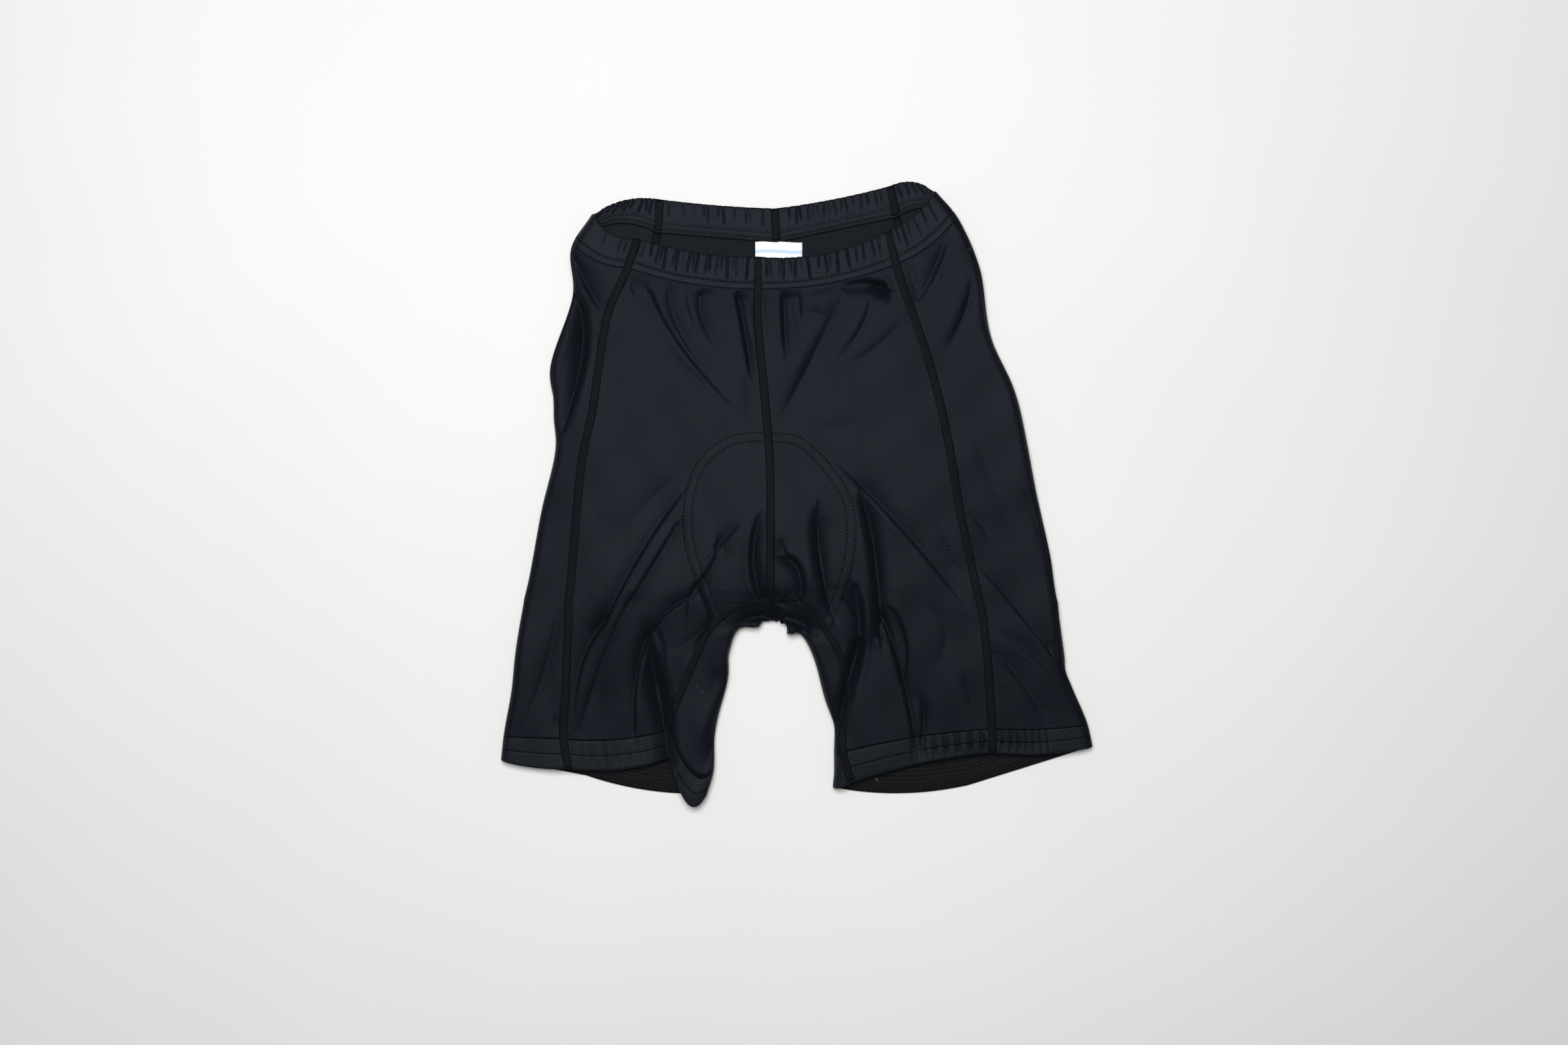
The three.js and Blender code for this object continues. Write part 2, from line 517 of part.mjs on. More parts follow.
// Waist casing: each gather is a crest, a trough and a crest, unevenly spaced.
const CREST = 0.12;
function gatherColumns(hand, first, count) {
  const columns = [{ hand, w: first, trough: 0 }];
  for (let index = 0; index < count; index += 1) {
    const lean = 0.16 * Math.sin(index * 2.4 + first * 5 + hand);
    const depth = 0.55 + 0.45 * Math.abs(Math.sin(index * 1.7 + first * 3 + hand));
    columns.push({ hand, w: first + (index + CREST) / count, trough: 0 });
    columns.push({ hand, w: first + (index + 0.5 + lean) / count, trough: depth });
    columns.push({ hand, w: first + (index + 1 - CREST) / count, trough: 0 });
  }
  columns.push({ hand, w: first + 1, trough: 0 });
  return columns;
}

function casingColumns(first, names) {
  const halves = SIDES.map(([side, hand]) => {
    const counts = GATHERS.find((row) => row.hand === side);
    return names.flatMap((name, index) => gatherColumns(hand, first + index, counts[name]).slice(index ? 1 : 0));
  });
  return halves;
}

// Gathers run from the casing's edge to its first row of stitching, three quarters of the way.
const STITCHED = BAND_SEAM * 0.75;
const CASING_RUNS = [0, STITCHED * 0.7, STITCHED, BAND_SEAM];
const casingRelief = ({ trough }, run) => (run < STITCHED ? trough * GATHER_DEPTH : 0);
const [frontRight, frontLeft] = casingColumns(0, ["centreFront", "sideFront"]);
const [backRight, backLeft] = casingColumns(2, ["sideBack", "centreBack"]);
const casingFront = [...frontRight.reverse(), ...frontLeft.slice(1)];
const casingBack = [...backRight, ...backLeft.reverse().slice(1)];
add("waistband_front", wallGeometry(casingFront, CASING_RUNS, CASING, casingRelief), elastic);
add("waistband_back", wallGeometry(casingBack, CASING_RUNS, CASING, casingRelief, true), elastic);

// Gripper hems, the front ones gathered over part of their length
const HEM_RUNS = even(HEM_LINE, HEM_EDGE, 2);
const HEM_GATHERS = { right: { from: 0.8, to: 1.05, count: 3 }, left: { from: 0.42, to: 1.62, count: 15 } };
const hemRelief = ({ trough }, run) => trough * HEM_GATHER_DEPTH * (run > HEM_LINE ? 1 : 0.3);
for (const [side, hand] of SIDES) {
  const { from, to, count } = HEM_GATHERS[side];
  const waves = even(from, to, count * 2).map((w, step) => ({ hand, w, trough: step % 2 }));
  const before = even(0, from, Math.ceil(from * 12)).slice(0, -1).map((w) => ({ hand, w, trough: 0 }));
  const after = FRONT_SIDE.filter((w) => w > to + 0.04).map((w) => ({ hand, w, trough: 0 }));
  add(`leg_hem_front_${side}`, wallGeometry([...before, ...waves, ...after], HEM_RUNS, HEM, hemRelief), elastic);
  const behind = columnsAt(hand, [...BACK_SIDE, ...BACK_CENTRE.slice(1)]);
  add(`leg_hem_back_${side}`, wallGeometry(behind, HEM_RUNS, HEM), elastic);
}

// Label, hanging from the back of the casing over the two back panels
function labelGeometry() {
  const [across, down] = [even(0, 1, 4), even(0, 1, 3)];
  const sheet = (lift) => down.map((v) => across.map((u) => [
    LABEL.right + LABEL.width * u,
    LABEL.top - LABEL.drop * v,
    CLOTH + SEAM_GAP + lift + LABEL.wave * v * (1 + Math.sin(u * 9)),
  ]));
  return closedWall(sheet(LABEL.thick), sheet(0));
}
add("label", labelGeometry(), white);

// Seat pad, folded in two at the crotch. Its upper side keeps under the front panels' own corners.
const PANEL_CELL = { run: 13, w: 1.3 / 13 };
function underPanel(hand, run, w) {
  const heights = PANEL_RUNS.filter((row) => Math.abs(row - run) < PANEL_CELL.run).flatMap((row) => {
    const near = [1, -1].flatMap((side) => FRONT_CENTRE.map((place) => [side, place]));
    const seen = near.filter(([side, place]) => Math.abs(place * side * hand - w) < PANEL_CELL.w);
    return seen.map(([side, place]) => surface(side, row, place)[2]);
  });
  return Math.min(...heights) - CLOTH - PAD_CLEAR;
}

function padGeometry() {
  const spread = even(-1, 1, 14);
  const upper = PAD.map(({ run, right, left }) => spread.map((u) => {
    const hand = u < 0 ? 1 : -1;
    const w = Math.abs(u) * (u < 0 ? right : left);
    const [x, y] = surface(hand, run, w);
    return [x, y, underPanel(hand, run, w)];
  }));
  const lower = upper.map((row) => row.map(([x, y]) => [x, y, PAD_FLOOR]));
  return closedWall(upper, lower);
}
add("seat_pad", padGeometry(), foam);

export default shorts;
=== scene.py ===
"""The looks of a pair of padded cycling shorts laid flat with the front up.

Each panel is a thin shell on the form its solid has, with the creases, gathers, seams and stitching
that the shorts show. Tables are in millimetres and the meshes in metres, +X to the wearer's left,
+Y to the waist, +Z up from the floor.
"""

import math

import bmesh
import bpy
import numpy as np
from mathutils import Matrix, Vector


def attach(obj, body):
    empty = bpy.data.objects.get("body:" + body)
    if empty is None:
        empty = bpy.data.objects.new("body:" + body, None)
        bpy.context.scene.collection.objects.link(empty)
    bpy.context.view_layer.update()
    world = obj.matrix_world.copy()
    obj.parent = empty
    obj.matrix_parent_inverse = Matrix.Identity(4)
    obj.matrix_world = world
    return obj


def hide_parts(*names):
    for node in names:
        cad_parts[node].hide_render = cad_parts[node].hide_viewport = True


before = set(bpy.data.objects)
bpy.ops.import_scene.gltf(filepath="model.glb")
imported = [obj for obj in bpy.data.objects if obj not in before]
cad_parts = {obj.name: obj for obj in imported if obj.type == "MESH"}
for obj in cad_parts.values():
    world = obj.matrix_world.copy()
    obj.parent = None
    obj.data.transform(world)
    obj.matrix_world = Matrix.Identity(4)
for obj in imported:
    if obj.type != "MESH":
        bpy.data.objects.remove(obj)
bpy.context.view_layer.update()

# Driving sizes, in millimetres unless a name says otherwise
MM = 0.001
CLOTH = 0.8  # one panel's shell
CASING = 2.2  # waist casing over its elastic, at a puff
HEM = 1.5  # turned hem over its gripper tape
LIFT = 0.62  # the underside's stitching lifts the cloth off the floor by this
SIDE_FOLD_REACH = 7  # how far in from its edge a fold has opened flat
INNER_FOLD_REACH = 5
LOWEST_TOP = 2.9  # of the upper layer, at the bottom of a crease
FINE_CELL = 1.3  # of the front's grids
BACK_CELL = 3.4  # of the grids that lie on the floor
GATHER_DEPTH = 1.5  # of the casing's gathers
STITCHED_AT = 17.6  # casing's first row of stitching, from the waist edge
SECOND_ROW_AT = 23.0
CASING_ROWS = (STITCHED_AT, SECOND_ROW_AT)
CLEAR_OF_BAND = 21.5  # creases start past this, as the casing over its elastic stays flat
CLEARING = 14  # and are at their full depth this much further down
SEAM_WIDTH = 6.0  # flatlock
STITCH_PITCH = 1.7
THREAD = 0.34


def table(columns, rows):
    """Rows of values as dictionaries with named columns."""
    return [dict(zip(columns, row)) for row in rows]


# Cross sections from waist to hem: run is the way down the side front seam, centre and side the
# upper layer's heights at the inner edge and the side front seam, fold the outer fold's height,
# lap_top and inner_fold the heights of the cloth that laps round from the back to the inseam, and
# lap how far that cloth goes.
SECTIONS = table(
    ("name", "run", "centre", "side", "fold", "lap_top", "inner_fold", "lap"),
    [
        ("waist edge", 0, 14, 14, 13, 0, 0, 0),
        ("band seam", 23.5, 14, 14, 13, 0, 0, 0),
        ("high hip", 55, 14, 14, 13, 0, 0, 0),
        ("hip", 90, 14, 13.5, 13, 0, 0, 0),
        ("low hip", 122, 14.5, 13.5, 12.5, 0, 0, 0),
        ("seat", 159, 16, 13.5, 12.5, 0, 0, 0),
        ("low seat", 196, 18, 13, 12.5, 0, 0, 0),
        ("rise", 230, 19, 13, 12.5, 0, 0, 0),
        ("under rise", 248.5, 19, 13, 12.5, 0, 0, 0),
        ("crotch fold", 257, 18.8, 13, 12.5, 0, 15, 1),
        ("crotch turn", 261, 18.55, 13, 12.5, 16, 15, 2),
        ("crotch", 265, 18.2, 13, 12.5, 16, 15, 3),
        ("high thigh", 278.5, 16.8, 13, 12.5, 15.5, 14, 3),
        ("thigh", 295.5, 15, 13, 12.5, 14.5, 13, 3),
        ("low thigh", 323.5, 13.5, 13, 12, 13.5, 12, 3),
        ("hem line", 353, 13, 12.5, 11.5, 13, 11.5, 3),
        ("hem edge", 372, 12.5, 12, 11, 12.5, 11, 3),
    ],
)

# Where each section goes, seen from above: c the centre front or inseam, f the side front seam, e
# the outer edge, b the side back seam, k the centre back or inner edge, m the middle of the lapped
# cloth. turn is the side seam's place round the outer fold, 0 on top and 100 underneath.
PLAN = (
    "name", "cx", "cy", "fx", "fy", "ex", "ey", "bx", "by", "kx", "ky", "mx", "my",
    "turn", "bow_front", "bow_side", "bow_under", "bow_back",
)
RIGHT = table(PLAN, [
    ("waist edge", -27.5, 167, -113, 180, -144.5, 198.5, -97.5, 209, -15.5, 202.5, 0, 0, 60, 3.5, 6.5, 5, -1),
    ("band seam", -27.5, 143.5, -120, 158, -159, 175, -99, 186.5, -14.5, 179.5, 0, 0, 50, 4, 4, 12, 0),
    ("high hip", -28, 125.5, -133, 128, -158.5, 140, -109.5, 142.5, -14.5, 142.5, 0, 0, 55, 0, 0, 0, 0),
    ("hip", -25, 92.5, -139.5, 92.5, -174.5, 87.5, -117.5, 106.5, -14.5, 106.5, 0, 0, 50, 0, 0, 0, 0),
    ("low hip", -22, 60.5, -144, 60.5, -172.5, 57, -123.5, 68.5, -14.5, 71, 0, 0, 90, 0, 0, 0, 0),
    ("seat", -19, 23.5, -151.5, 23.5, -171.5, 28.5, -128.5, 30.5, -14.5, 33, 0, 0, 100, 0, 0, 0, 0),
    ("low seat", -18.5, -14.5, -155.5, -13.5, -181, -12, -132.5, -7.5, -14.5, -5, 0, 0, 100, 0, 0, 0, 0),
    ("rise", -18.5, -47.5, -158.5, -47.5, -187.5, -47.5, -135, -43, -14.5, -45.5, 0, 0, 100, 0, 0, 0, 0),
    ("under rise", -18.5, -61, -160, -66.5, -190.5, -63, -137, -63.5, -14.5, -80, 0, 0, 100, 0, 0, 0, 0),
    ("crotch fold", -18.5, -67, -161, -75, -192.5, -71.5, -138, -73, -14.5, -91, 0, 0, 100, 0, 0, 0, 0),
    ("crotch turn", -18.5, -70, -161.5, -79, -193.5, -75.5, -138.5, -78, -19, -91.5, -16.5, -83.5,
     100, -2, 0, 0, 0),
    ("crotch", -18.5, -73, -161.5, -82, -194, -79, -139, -82, -24.5, -91.5, -22, -83, 100, -2, 0, 0, 0),
    ("high thigh", -37, -78, -161.5, -95, -196.5, -93, -140, -96, -40, -96, -39, -87, 100, 0, 0, 0, 0),
    ("thigh", -57.5, -91, -162.5, -112, -199.5, -112, -141.5, -116.5, -47.5, -112, -51, -102.5,
     100, 0, 0, 0, 0),
    ("low thigh", -76, -127.5, -163.5, -140.5, -202.5, -140.5, -144, -146.5, -50, -138, -61.5, -129.5,
     100, 0, 0, 0, 0),
    ("hem line", -91, -167.5, -165, -173.5, -208, -172, -147.5, -180.5, -58.5, -194, -72.5, -198.5,
     100, 3.5, 0, 0, -3),
    ("hem edge", -90, -188.5, -161.5, -195.5, -210, -190, -150, -201, -63.5, -214, -77, -220.3,
     100, 4, 2, 0, -4),
])
LEFT = table(PLAN, [
    ("waist edge", -27.5, 167, 64.5, 185.5, 98, 214.5, 66.5, 218.5, -15.5, 202.5, 0, 0, 30, 7, 4, 5, -1.5),
    ("band seam", -27.5, 143.5, 70.5, 160.5, 114.5, 195, 71, 197.5, -14.5, 179.5, 0, 0, 20, 5, 4, 8, 0),
    ("high hip", -28, 125.5, 81.5, 128, 129.5, 159, 79, 152, -14.5, 142.5, 0, 0, 40, 0, 0, 0, 0),
    ("hip", -25, 92.5, 93.5, 92.5, 137.5, 111.5, 86.5, 114, -14.5, 106.5, 0, 0, 65, 0, 0, 0, 0),
    ("low hip", -22, 60.5, 102, 60.5, 154, 74.5, 93, 71, -14.5, 71, 0, 0, 85, 0, 0, 0, 0),
    ("seat", -19, 23.5, 109.5, 23.5, 164, 33, 98, 32, -14.5, 33, 0, 0, 85, 0, 0, 0, 0),
    ("low seat", -18.5, -14.5, 115.5, -13.5, 172, -9.5, 102.5, -7.5, -14.5, -5, 0, 0, 65, 0, 0, 0, 0),
    ("rise", -18.5, -47.5, 123, -47.5, 180, -47.5, 106.5, -45.5, -14.5, -45.5, 0, 0, 45, 0, 0, 0, 0),
    ("under rise", -18.5, -61, 126.5, -65.5, 182.5, -65.5, 108.5, -64.5, -14.5, -80, 0, 0, 38, 0, 0, 0, 0),
    ("crotch fold", -18.5, -67, 128.5, -74, 184, -74, 109.5, -74, -14.5, -91, 0, 0, 34, -5, 0, 0, 0),
    ("crotch turn", -18.5, -70, 129.5, -78.5, 185, -78, 110, -78.5, -10.5, -92.5, -16.5, -83.5,
     32, -7, 0, 0, 0),
    ("crotch", -18.5, -73, 130.5, -82.5, 185.5, -82, 110.5, -82.5, -7, -95.5, -12, -84, 30, -9, 0, 0, 0),
    ("high thigh", 3, -76, 132.5, -96, 187.5, -96.5, 112, -97.5, 2, -100, 4, -88, 20, -5, 0, 0, 0),
    ("thigh", 17.5, -92.5, 134.5, -114, 190, -115, 114, -119, 9.5, -111, 14, -101.5, 10, 0, 0, 0, 0),
    ("low thigh", 34.5, -128.5, 136.5, -141.5, 195, -138, 116.5, -148.5, 20, -146.5, 28, -138,
     45, 0, 0, 0, 0),
    ("hem line", 32.5, -182.5, 138, -166.5, 206, -164, 119.5, -186.5, 26.5, -186.5, 29, -185,
     35, -2.5, 1.5, 0, -4),
    ("hem edge", 38.5, -205, 138.5, -184, 210, -180.5, 122, -208, 25.5, -209.5, 32, -208.5,
     30, -3, 3, 0, -5),
])

# Creases of the upper layer, each a bent line through three places. width is how far the cloth
# slopes to either side, soft how much further on one side (left of the line, or right when minus),
# and start and end the shares of the depth at the line's two ends. A minus depth is a ridge.
FOLDS = table(
    ("name", "x0", "y0", "x1", "y1", "x2", "y2", "width", "depth", "soft", "start", "end"),
    [
        ("hip pouch", -155.5, 137.5, -152, 102, -165, 45, 2.6, 9.5, -2.6, 0.5, 0.2),
        ("right side dart", -158, 167, -149.5, 148.5, -138, 129, 1.8, 2.8, 2.4, 0.5, 0.3),
        ("right side pucker", -118.5, 159, -120.5, 150, -122, 140, 1.3, 0.8, 3.3, 1, 0.2),
        ("hook under the band", -114, 152.5, -116, 145.5, -113, 139, 1.2, 1.2, 3.5, 1, 0.2),
        ("hook under the band, short", -104, 152.5, -107, 147, -109.5, 142.5, 1.4, 0.9, 2.9, 1, 0.2),
        ("right hip drag", -104, 141, -80.5, 99.5, -42, 56, 1.4, 2.2, -3.1, 0.8, 0.1),
        ("right hip drag, split", -91.5, 110.5, -81.5, 96.5, -68, 82.5, 1.6, 0.9, -2.6, 0.3, 0.1),
        ("right band pleat", -90, 147, -84.5, 118.5, -60.5, 82.5, 3.0, 2.2, 1.6, 0.9, 0.2),
        ("right band pleat, thin", -78, 143, -75, 128, -69.5, 112.5, 1.6, 1.1, 2.6, 0.6, 0.1),
        ("right band pleat, long", -64.5, 143, -68.5, 129, -55, 98.5, 2.8, 2.7, 2.0, 1, 0.1),
        ("right band pleat, faint", -53, 119.5, -50.5, 106.5, -47, 92.5, 1.4, 0.6, 2.9, 0, 0),
        ("centre pleat", -42.5, 142, -36.5, 111.5, -32, 81.5, 1.3, 4.2, 3.0, 1, 0.3),
        ("beside the centre pleat", -35, 138.5, -32.5, 121, -29.5, 104.5, 1.2, 0.7, 3.5, 0.6, 0),
        ("centre hollow", -35, 85.5, -34, 66.5, -32, 45, 5.0, 1.3, 1.0, 0.2, 0),
        ("left of the centre seam, short", -23, 143, -21.5, 132, -19, 104.5, 1.4, 1.1, 2.9, 1, 0),
        ("left band pleat", -9.5, 144, -9, 123.5, -7.5, 92.5, 1.4, 3.9, 2.6, 1, 0.1),
        ("left band pleat, thin", -3.5, 139, -2.5, 123.5, 3, 108, 1.2, 0.8, -3.5, 0.6, 0.1),
        ("beside the belly puff", 1.5, 142.5, 1.5, 132, 3.5, 118.5, 1.6, 1.7, -2.6, 0.8, 0.1),
        ("tuck under the band", 31.5, 145.5, 46.5, 149, 60, 146, 1.8, 5.5, -2.2, 0.15, 1),
        ("end of the tuck", 58, 147, 62, 143, 63.5, 136.5, 1.8, 3.6, -2, 1, 0.3),
        ("puff under the band", 9.5, 128, 21, 138.5, 49.5, 142.5, 10, -1.3, 1, 0, 0),
        ("belly drag", 27, 130.5, 9.5, 92.5, -14, 47.5, 3.0, 2.6, 3.0, 0.2, 0.1),
        ("belly drag, middle", 51.5, 136.5, 45, 116, 27, 92.5, 1.4, 1.5, 2.9, 0.4, 0.1),
        ("belly drag, upper", 74.5, 122, 54.5, 102, 34.5, 91, 2.0, 0.9, 2.4, 0.1, 0.1),
        ("left seam dart", 80, 161.5, 84, 147, 87, 135, 1.9, 1.7, -2.4, 1, 0.4),
        ("left side dart", 105.5, 182.5, 99, 160.5, 87, 137.5, 1.4, 2.5, -2.9, 0.6, 0.4),
        ("left side hollow", 123.5, 149.5, 119, 128, 107, 103.5, 2.6, 2.6, 1.8, 0.2, 0.2),
        ("left side shade", 116, 175.5, 122, 161.5, 124.5, 142.5, 4.0, 0.8, 1.0, 0, 0),
        ("drag over the pad", 2, 41.5, 26, 45, 52, 53.5, 5.0, 0.7, 1.0, 0, 0),
        ("right of the centre seam", -26.5, -17, -31, -45.5, -26.5, -72.5, 1.8, 4.6, 2, 0.3, 1),
        ("left of the centre seam", -11, -32.5, -9, -42, -3.5, -48.5, 1.6, 1.9, -2.6, 0.3, 1),
        ("left of the centre seam, hook", -6, -47, 1, -54, 3.5, -70.5, 1.7, 4.2, -2, 0.9, 1),
        ("pad hollow", 14.5, -15.5, 16.5, -47.5, 24.5, -85.5, 3, 6.5, 1.9, 0.4, 0.4),
        ("left thigh trough", 46, -5, 55, -43, 59, -100, 2.6, 7, 1.8, 0.3, 0.7),
        ("left thigh trough, lower", 60, -88, 74, -126, 84.5, -180.5, 1.6, 4.2, 2.2, 1, 0.6),
        ("left thigh trough, branch", 67.5, -83.5, 76, -105.5, 75.5, -131, 1.7, 3.2, -2.0, 0.4, 0.3),
        ("left thigh trough, short", 88.5, -146.5, 90, -160.5, 89, -175, 1.6, 3, 1.9, 0.3, 0.5),
        ("left thigh hollow", 81, -138, 87.5, -157, 87.5, -185.5, 5.5, 1.3, 1.0, 0.2, 0.4),
        ("left inner valley", 41, -66, 44.5, -88, 43.5, -112, 1.5, 4, -2.2, 0.5, 1),
        ("left inner valley, lower", 43.5, -108.5, 34.5, -140.5, 29, -169, 2.6, 7, 1.6, 1, 0.6),
        ("left inner nick", 31.5, -76, 37.5, -79.5, 43, -88, 1.2, 1.4, 3.5, 0.3, 0.8),
        ("left inner ridge", 46, -66.5, 50, -104.5, 36.5, -161.5, 3.0, -1.5, 1.0, 0, 0),
        ("left thigh crease", 27, 22.5, 72.5, -23, 119, -80, 1.6, 2.4, 4.2, 0.1, 0.2),
        ("left knee hollow", 94, -78.5, 105.5, -100, 97, -126, 5.0, 1.3, 1.0, 0, 0),
        ("left outer hollow", 122, 47.5, 147, -14, 174, -76, 9.0, 1.5, 1.0, 0.1, 0.1),
        ("left outer drag", 125, -47, 156.5, -83.5, 192, -130, 1.2, 1.4, 4.5, 0.5, 0.5),
        ("left outer drag, end", 176.5, -105.5, 179, -111, 181, -118, 2.1, 1.1, 2.4, 0.4, 0.4),
        ("left low hollow", 141, -114, 160.5, -135.5, 176, -163, 3.0, 1.8, 1.6, 0.7, 0.2),
        ("left low hollow, outer", 141, -100, 164.5, -112.5, 191, -144, 1.6, 0.9, 2.6, 0.4, 0.2),
        ("left low hollow, upper", 147, -105.5, 171, -119, 192, -142, 1.3, 0.6, 3.3, 0.2, 0.2),
        ("left low nick", 143.5, -137, 151.5, -151.5, 159, -165.5, 2.0, 0.9, 2.4, 0.2, 0.2),
        ("left low dent", 118.5, -126, 122.5, -145, 133, -167.5, 3.0, 1.3, 1.5, 0.2, 0.5),
        ("left outer nick", 122, -15.5, 128.5, -21, 137, -32.5, 1.2, 1.0, 3.5, 0.8, 0.1),
        ("left seam nick", 104, -30, 107.5, -44.5, 114.5, -57, 1.6, 1.0, -2.6, 0.2, 0.2),
        ("left outer fold", 161.5, 2, 168.5, -19, 174, -43, 5.0, 1.0, 1.0, 0.2, 0.2),
        ("right outer hollow", -167, -76, -177.5, -123.5, -195.5, -170.5, 3.2, 2.0, 1.5, 0.3, 0.3),
        ("right outer dent", -171, -138, -177.5, -156, -180.5, -172, 2.0, 0.7, 2.4, 0.2, 0.2),
        ("right nick at the hem", -170.5, -158, -170.5, -165.5, -168, -173, 1.2, 1.1, 3.5, 0.3, 0.3),
        ("right thigh crease", -79.5, 2, -111, -43.5, -138, -96, 1.2, 2.5, -4.5, 0.3, 1),
        ("right thigh crease, lower", -135, -90.5, -151, -116.5, -158, -155.5, 1.4, 3.0, -3.1, 1, 0.2),
        ("right thigh crease, branch", -137.5, -92.5, -142, -97.5, -144.5, -104.5, 1.2, 0.8, -3.5, 0.8, 0.1),
        ("right thigh crease, inner", -85, -23.5, -100.5, -50, -117.5, -77, 1.2, 2.1, 3.5, 0.7, 0.6),
        ("right thigh hollow", -116.5, -74.5, -135, -113.5, -153.5, -168.5, 2.6, 2.3, 1.6, 0.7, 0.5),
        ("right soft hollow", -83, 12, -109, -12, -128, -43, 6.0, 1.0, 1.0, 0, 0),
        ("right knee hollow", -138, -13.5, -140.5, -28.5, -145, -52.5, 5.0, 0.7, 1.0, 0, 0),
        ("pad crease", -42, -23, -52.5, -34.5, -64, -45.5, 1.2, 1.8, -3.5, 0.4, 0.3),
        ("pad crease, long", -56, -38, -59.5, -51, -71.5, -66.5, 1.2, 2.3, 3.5, 1, 1),
        ("pad crease, lower", -71, -65.5, -76, -78.5, -76, -97.5, 1.4, 1.8, 3.1, 1, 0.3),
        ("pad dent", -53.5, -38, -51.5, -43, -55, -49, 2.0, 0.8, 2.4, 0.4, 0.2),
        ("right inner tuck", -69.5, -70, -63.5, -84, -65, -96, 1.7, 1.5, -2.5, 0.5, 1),
        ("right inner tuck, lower", -64.5, -94.5, -71.5, -104, -77.5, -116, 1.8, 2.0, -2.4, 1, 0.2),
        ("right inner tuck, thin", -64.5, -96, -76, -105.5, -91, -113.5, 1.2, 1.0, -3.5, 1, 0.2),
        ("long tuck", -75, -74, -93, -85.5, -106, -104, 1.2, 2.9, -3.5, 0.5, 1),
        ("long tuck, lower", -105, -101.5, -114, -132.5, -115, -170.5, 1.4, 3.4, -3.2, 1, 0.6),
        ("tuck branch", -100, -96, -95, -108.5, -94, -126.5, 1.2, 1.4, -3.5, 1, 0.4),
        ("tuck wedge", -102, -107, -102, -126, -97.5, -142.5, 2.6, 3.4, -1.8, 0.2, 1),
        ("right inner valley", -100.5, -119, -95.5, -154.5, -91, -190, 3.6, 10, -1.9, 0.4, 1),
        ("right seam hollow", -138, -131, -140, -159.5, -142, -190, 5.0, 1.7, 1.0, 0.2, 0.4),
        ("lap hollow", -75.5, -152, -76, -177, -71, -207, 4.2, 1.2, 1.4, 0.3, 0.6),
        ("lap line", -52.5, -170.5, -59.5, -185.5, -66, -202, 1.2, 1.2, -3.5, 0.4, 0.4),
        ("lap dent", -58.5, -125, -54, -138, -51.5, -148.5, 3.6, 2.4, -1.5, 0.2, 0.4),
        ("lap nick", -63.5, -142.5, -59.5, -150, -55.5, -157, 1.3, 0.7, 3.3, 0.3, 0.2),
        ("left inner dent", 12.5, -134, 15.5, -142, 17, -149.5, 1.8, 1.1, 2.4, 0.3, 0.3),
        ("under the crotch seam", -42, -93, -16, -88, 13, -99, 2.4, 8.5, 2.7, 0.4, 0.4),
        ("crotch gather, first", -34, -79, -34.5, -86, -37, -95, 1.3, 1.8, 1.5, 1, 1),
        ("crotch gather, second", -30, -77, -30.5, -85, -32, -94.5, 1.3, 2.7, -1.5, 1, 1),
        ("crotch gather, third", -25.5, -76, -26, -84, -27.5, -93, 1.3, 3.4, 1.5, 1, 1),
        ("crotch gather, fourth", -21, -75, -22, -83, -23, -92, 1.3, 4.0, -1.5, 1, 1),
        ("crotch gather, fifth", -16.5, -75.5, -16.5, -84, -18, -92, 1.3, 3.8, 1.5, 1, 1),
        ("crotch gather, sixth", -12.5, -76, -12, -85, -13, -93, 1.3, 4.0, -1.5, 1, 1),
        ("crotch gather, seventh", -8, -76, -8, -85.5, -8, -95, 1.3, 4.0, 1.5, 1, 1),
        ("crotch gather, eighth", -3.5, -76.5, -3, -86, -3, -97, 1.3, 3.8, -1.5, 1, 1),
        ("crotch gather, ninth", 1, -78, 1.5, -87, 2.5, -99, 1.3, 3.0, 1.5, 1, 1),
        ("crotch gather, tenth", 6, -80, 6.5, -89, 8, -101, 1.3, 2.2, -1.5, 1, 1),
    ],
)

# The pad's outer row of stitching as it shows on the front, from the right inseam over to the left
PAD_EDGE = table(
    ("x", "y"),
    [
        (-55, -95), (-62, -86), (-69, -67), (-75, -52), (-79.5, -33.5), (-80.5, -19), (-78.5, 0),
        (-74, 14), (-64.5, 28), (-45.5, 40), (-21.5, 42.5), (2, 39), (20, 24), (31.5, 9.5),
        (38, -2.5), (41.5, -17), (41.5, -33.5), (40, -47.5), (36.5, -62), (31.5, -76), (23.5, -97),
    ],
)
PAD_ROWS_APART = 6.2
PAD_GROOVE = 0.2  # how deep and wide each row sinks in
PAD_GROOVE_WIDTH = 0.75
PAD_PUFF = 0.15  # how far the cloth puffs between the rows, and how wide
PAD_PUFF_WIDTH = 1.9
PAD_CROWN = 0.4  # and how far it rises inside them, over this way in
PAD_CROWN_REACH = 9
PAD_SHOWS_TO = 1.4  # the pad shows on the front alone, up to this far round

# The pad's half widths, as a share of the way from the centre front to the side front seam
PAD = table(
    ("run", "right", "left"),
    [
        (140.5, 0.05, 0.05), (146, 0.22, 0.2), (154, 0.34, 0.29), (168, 0.41, 0.37), (184, 0.44, 0.42),
        (200, 0.45, 0.445), (217, 0.44, 0.44), (234, 0.41, 0.41), (250, 0.36, 0.38), (262, 0.33, 0.35),
    ],
)

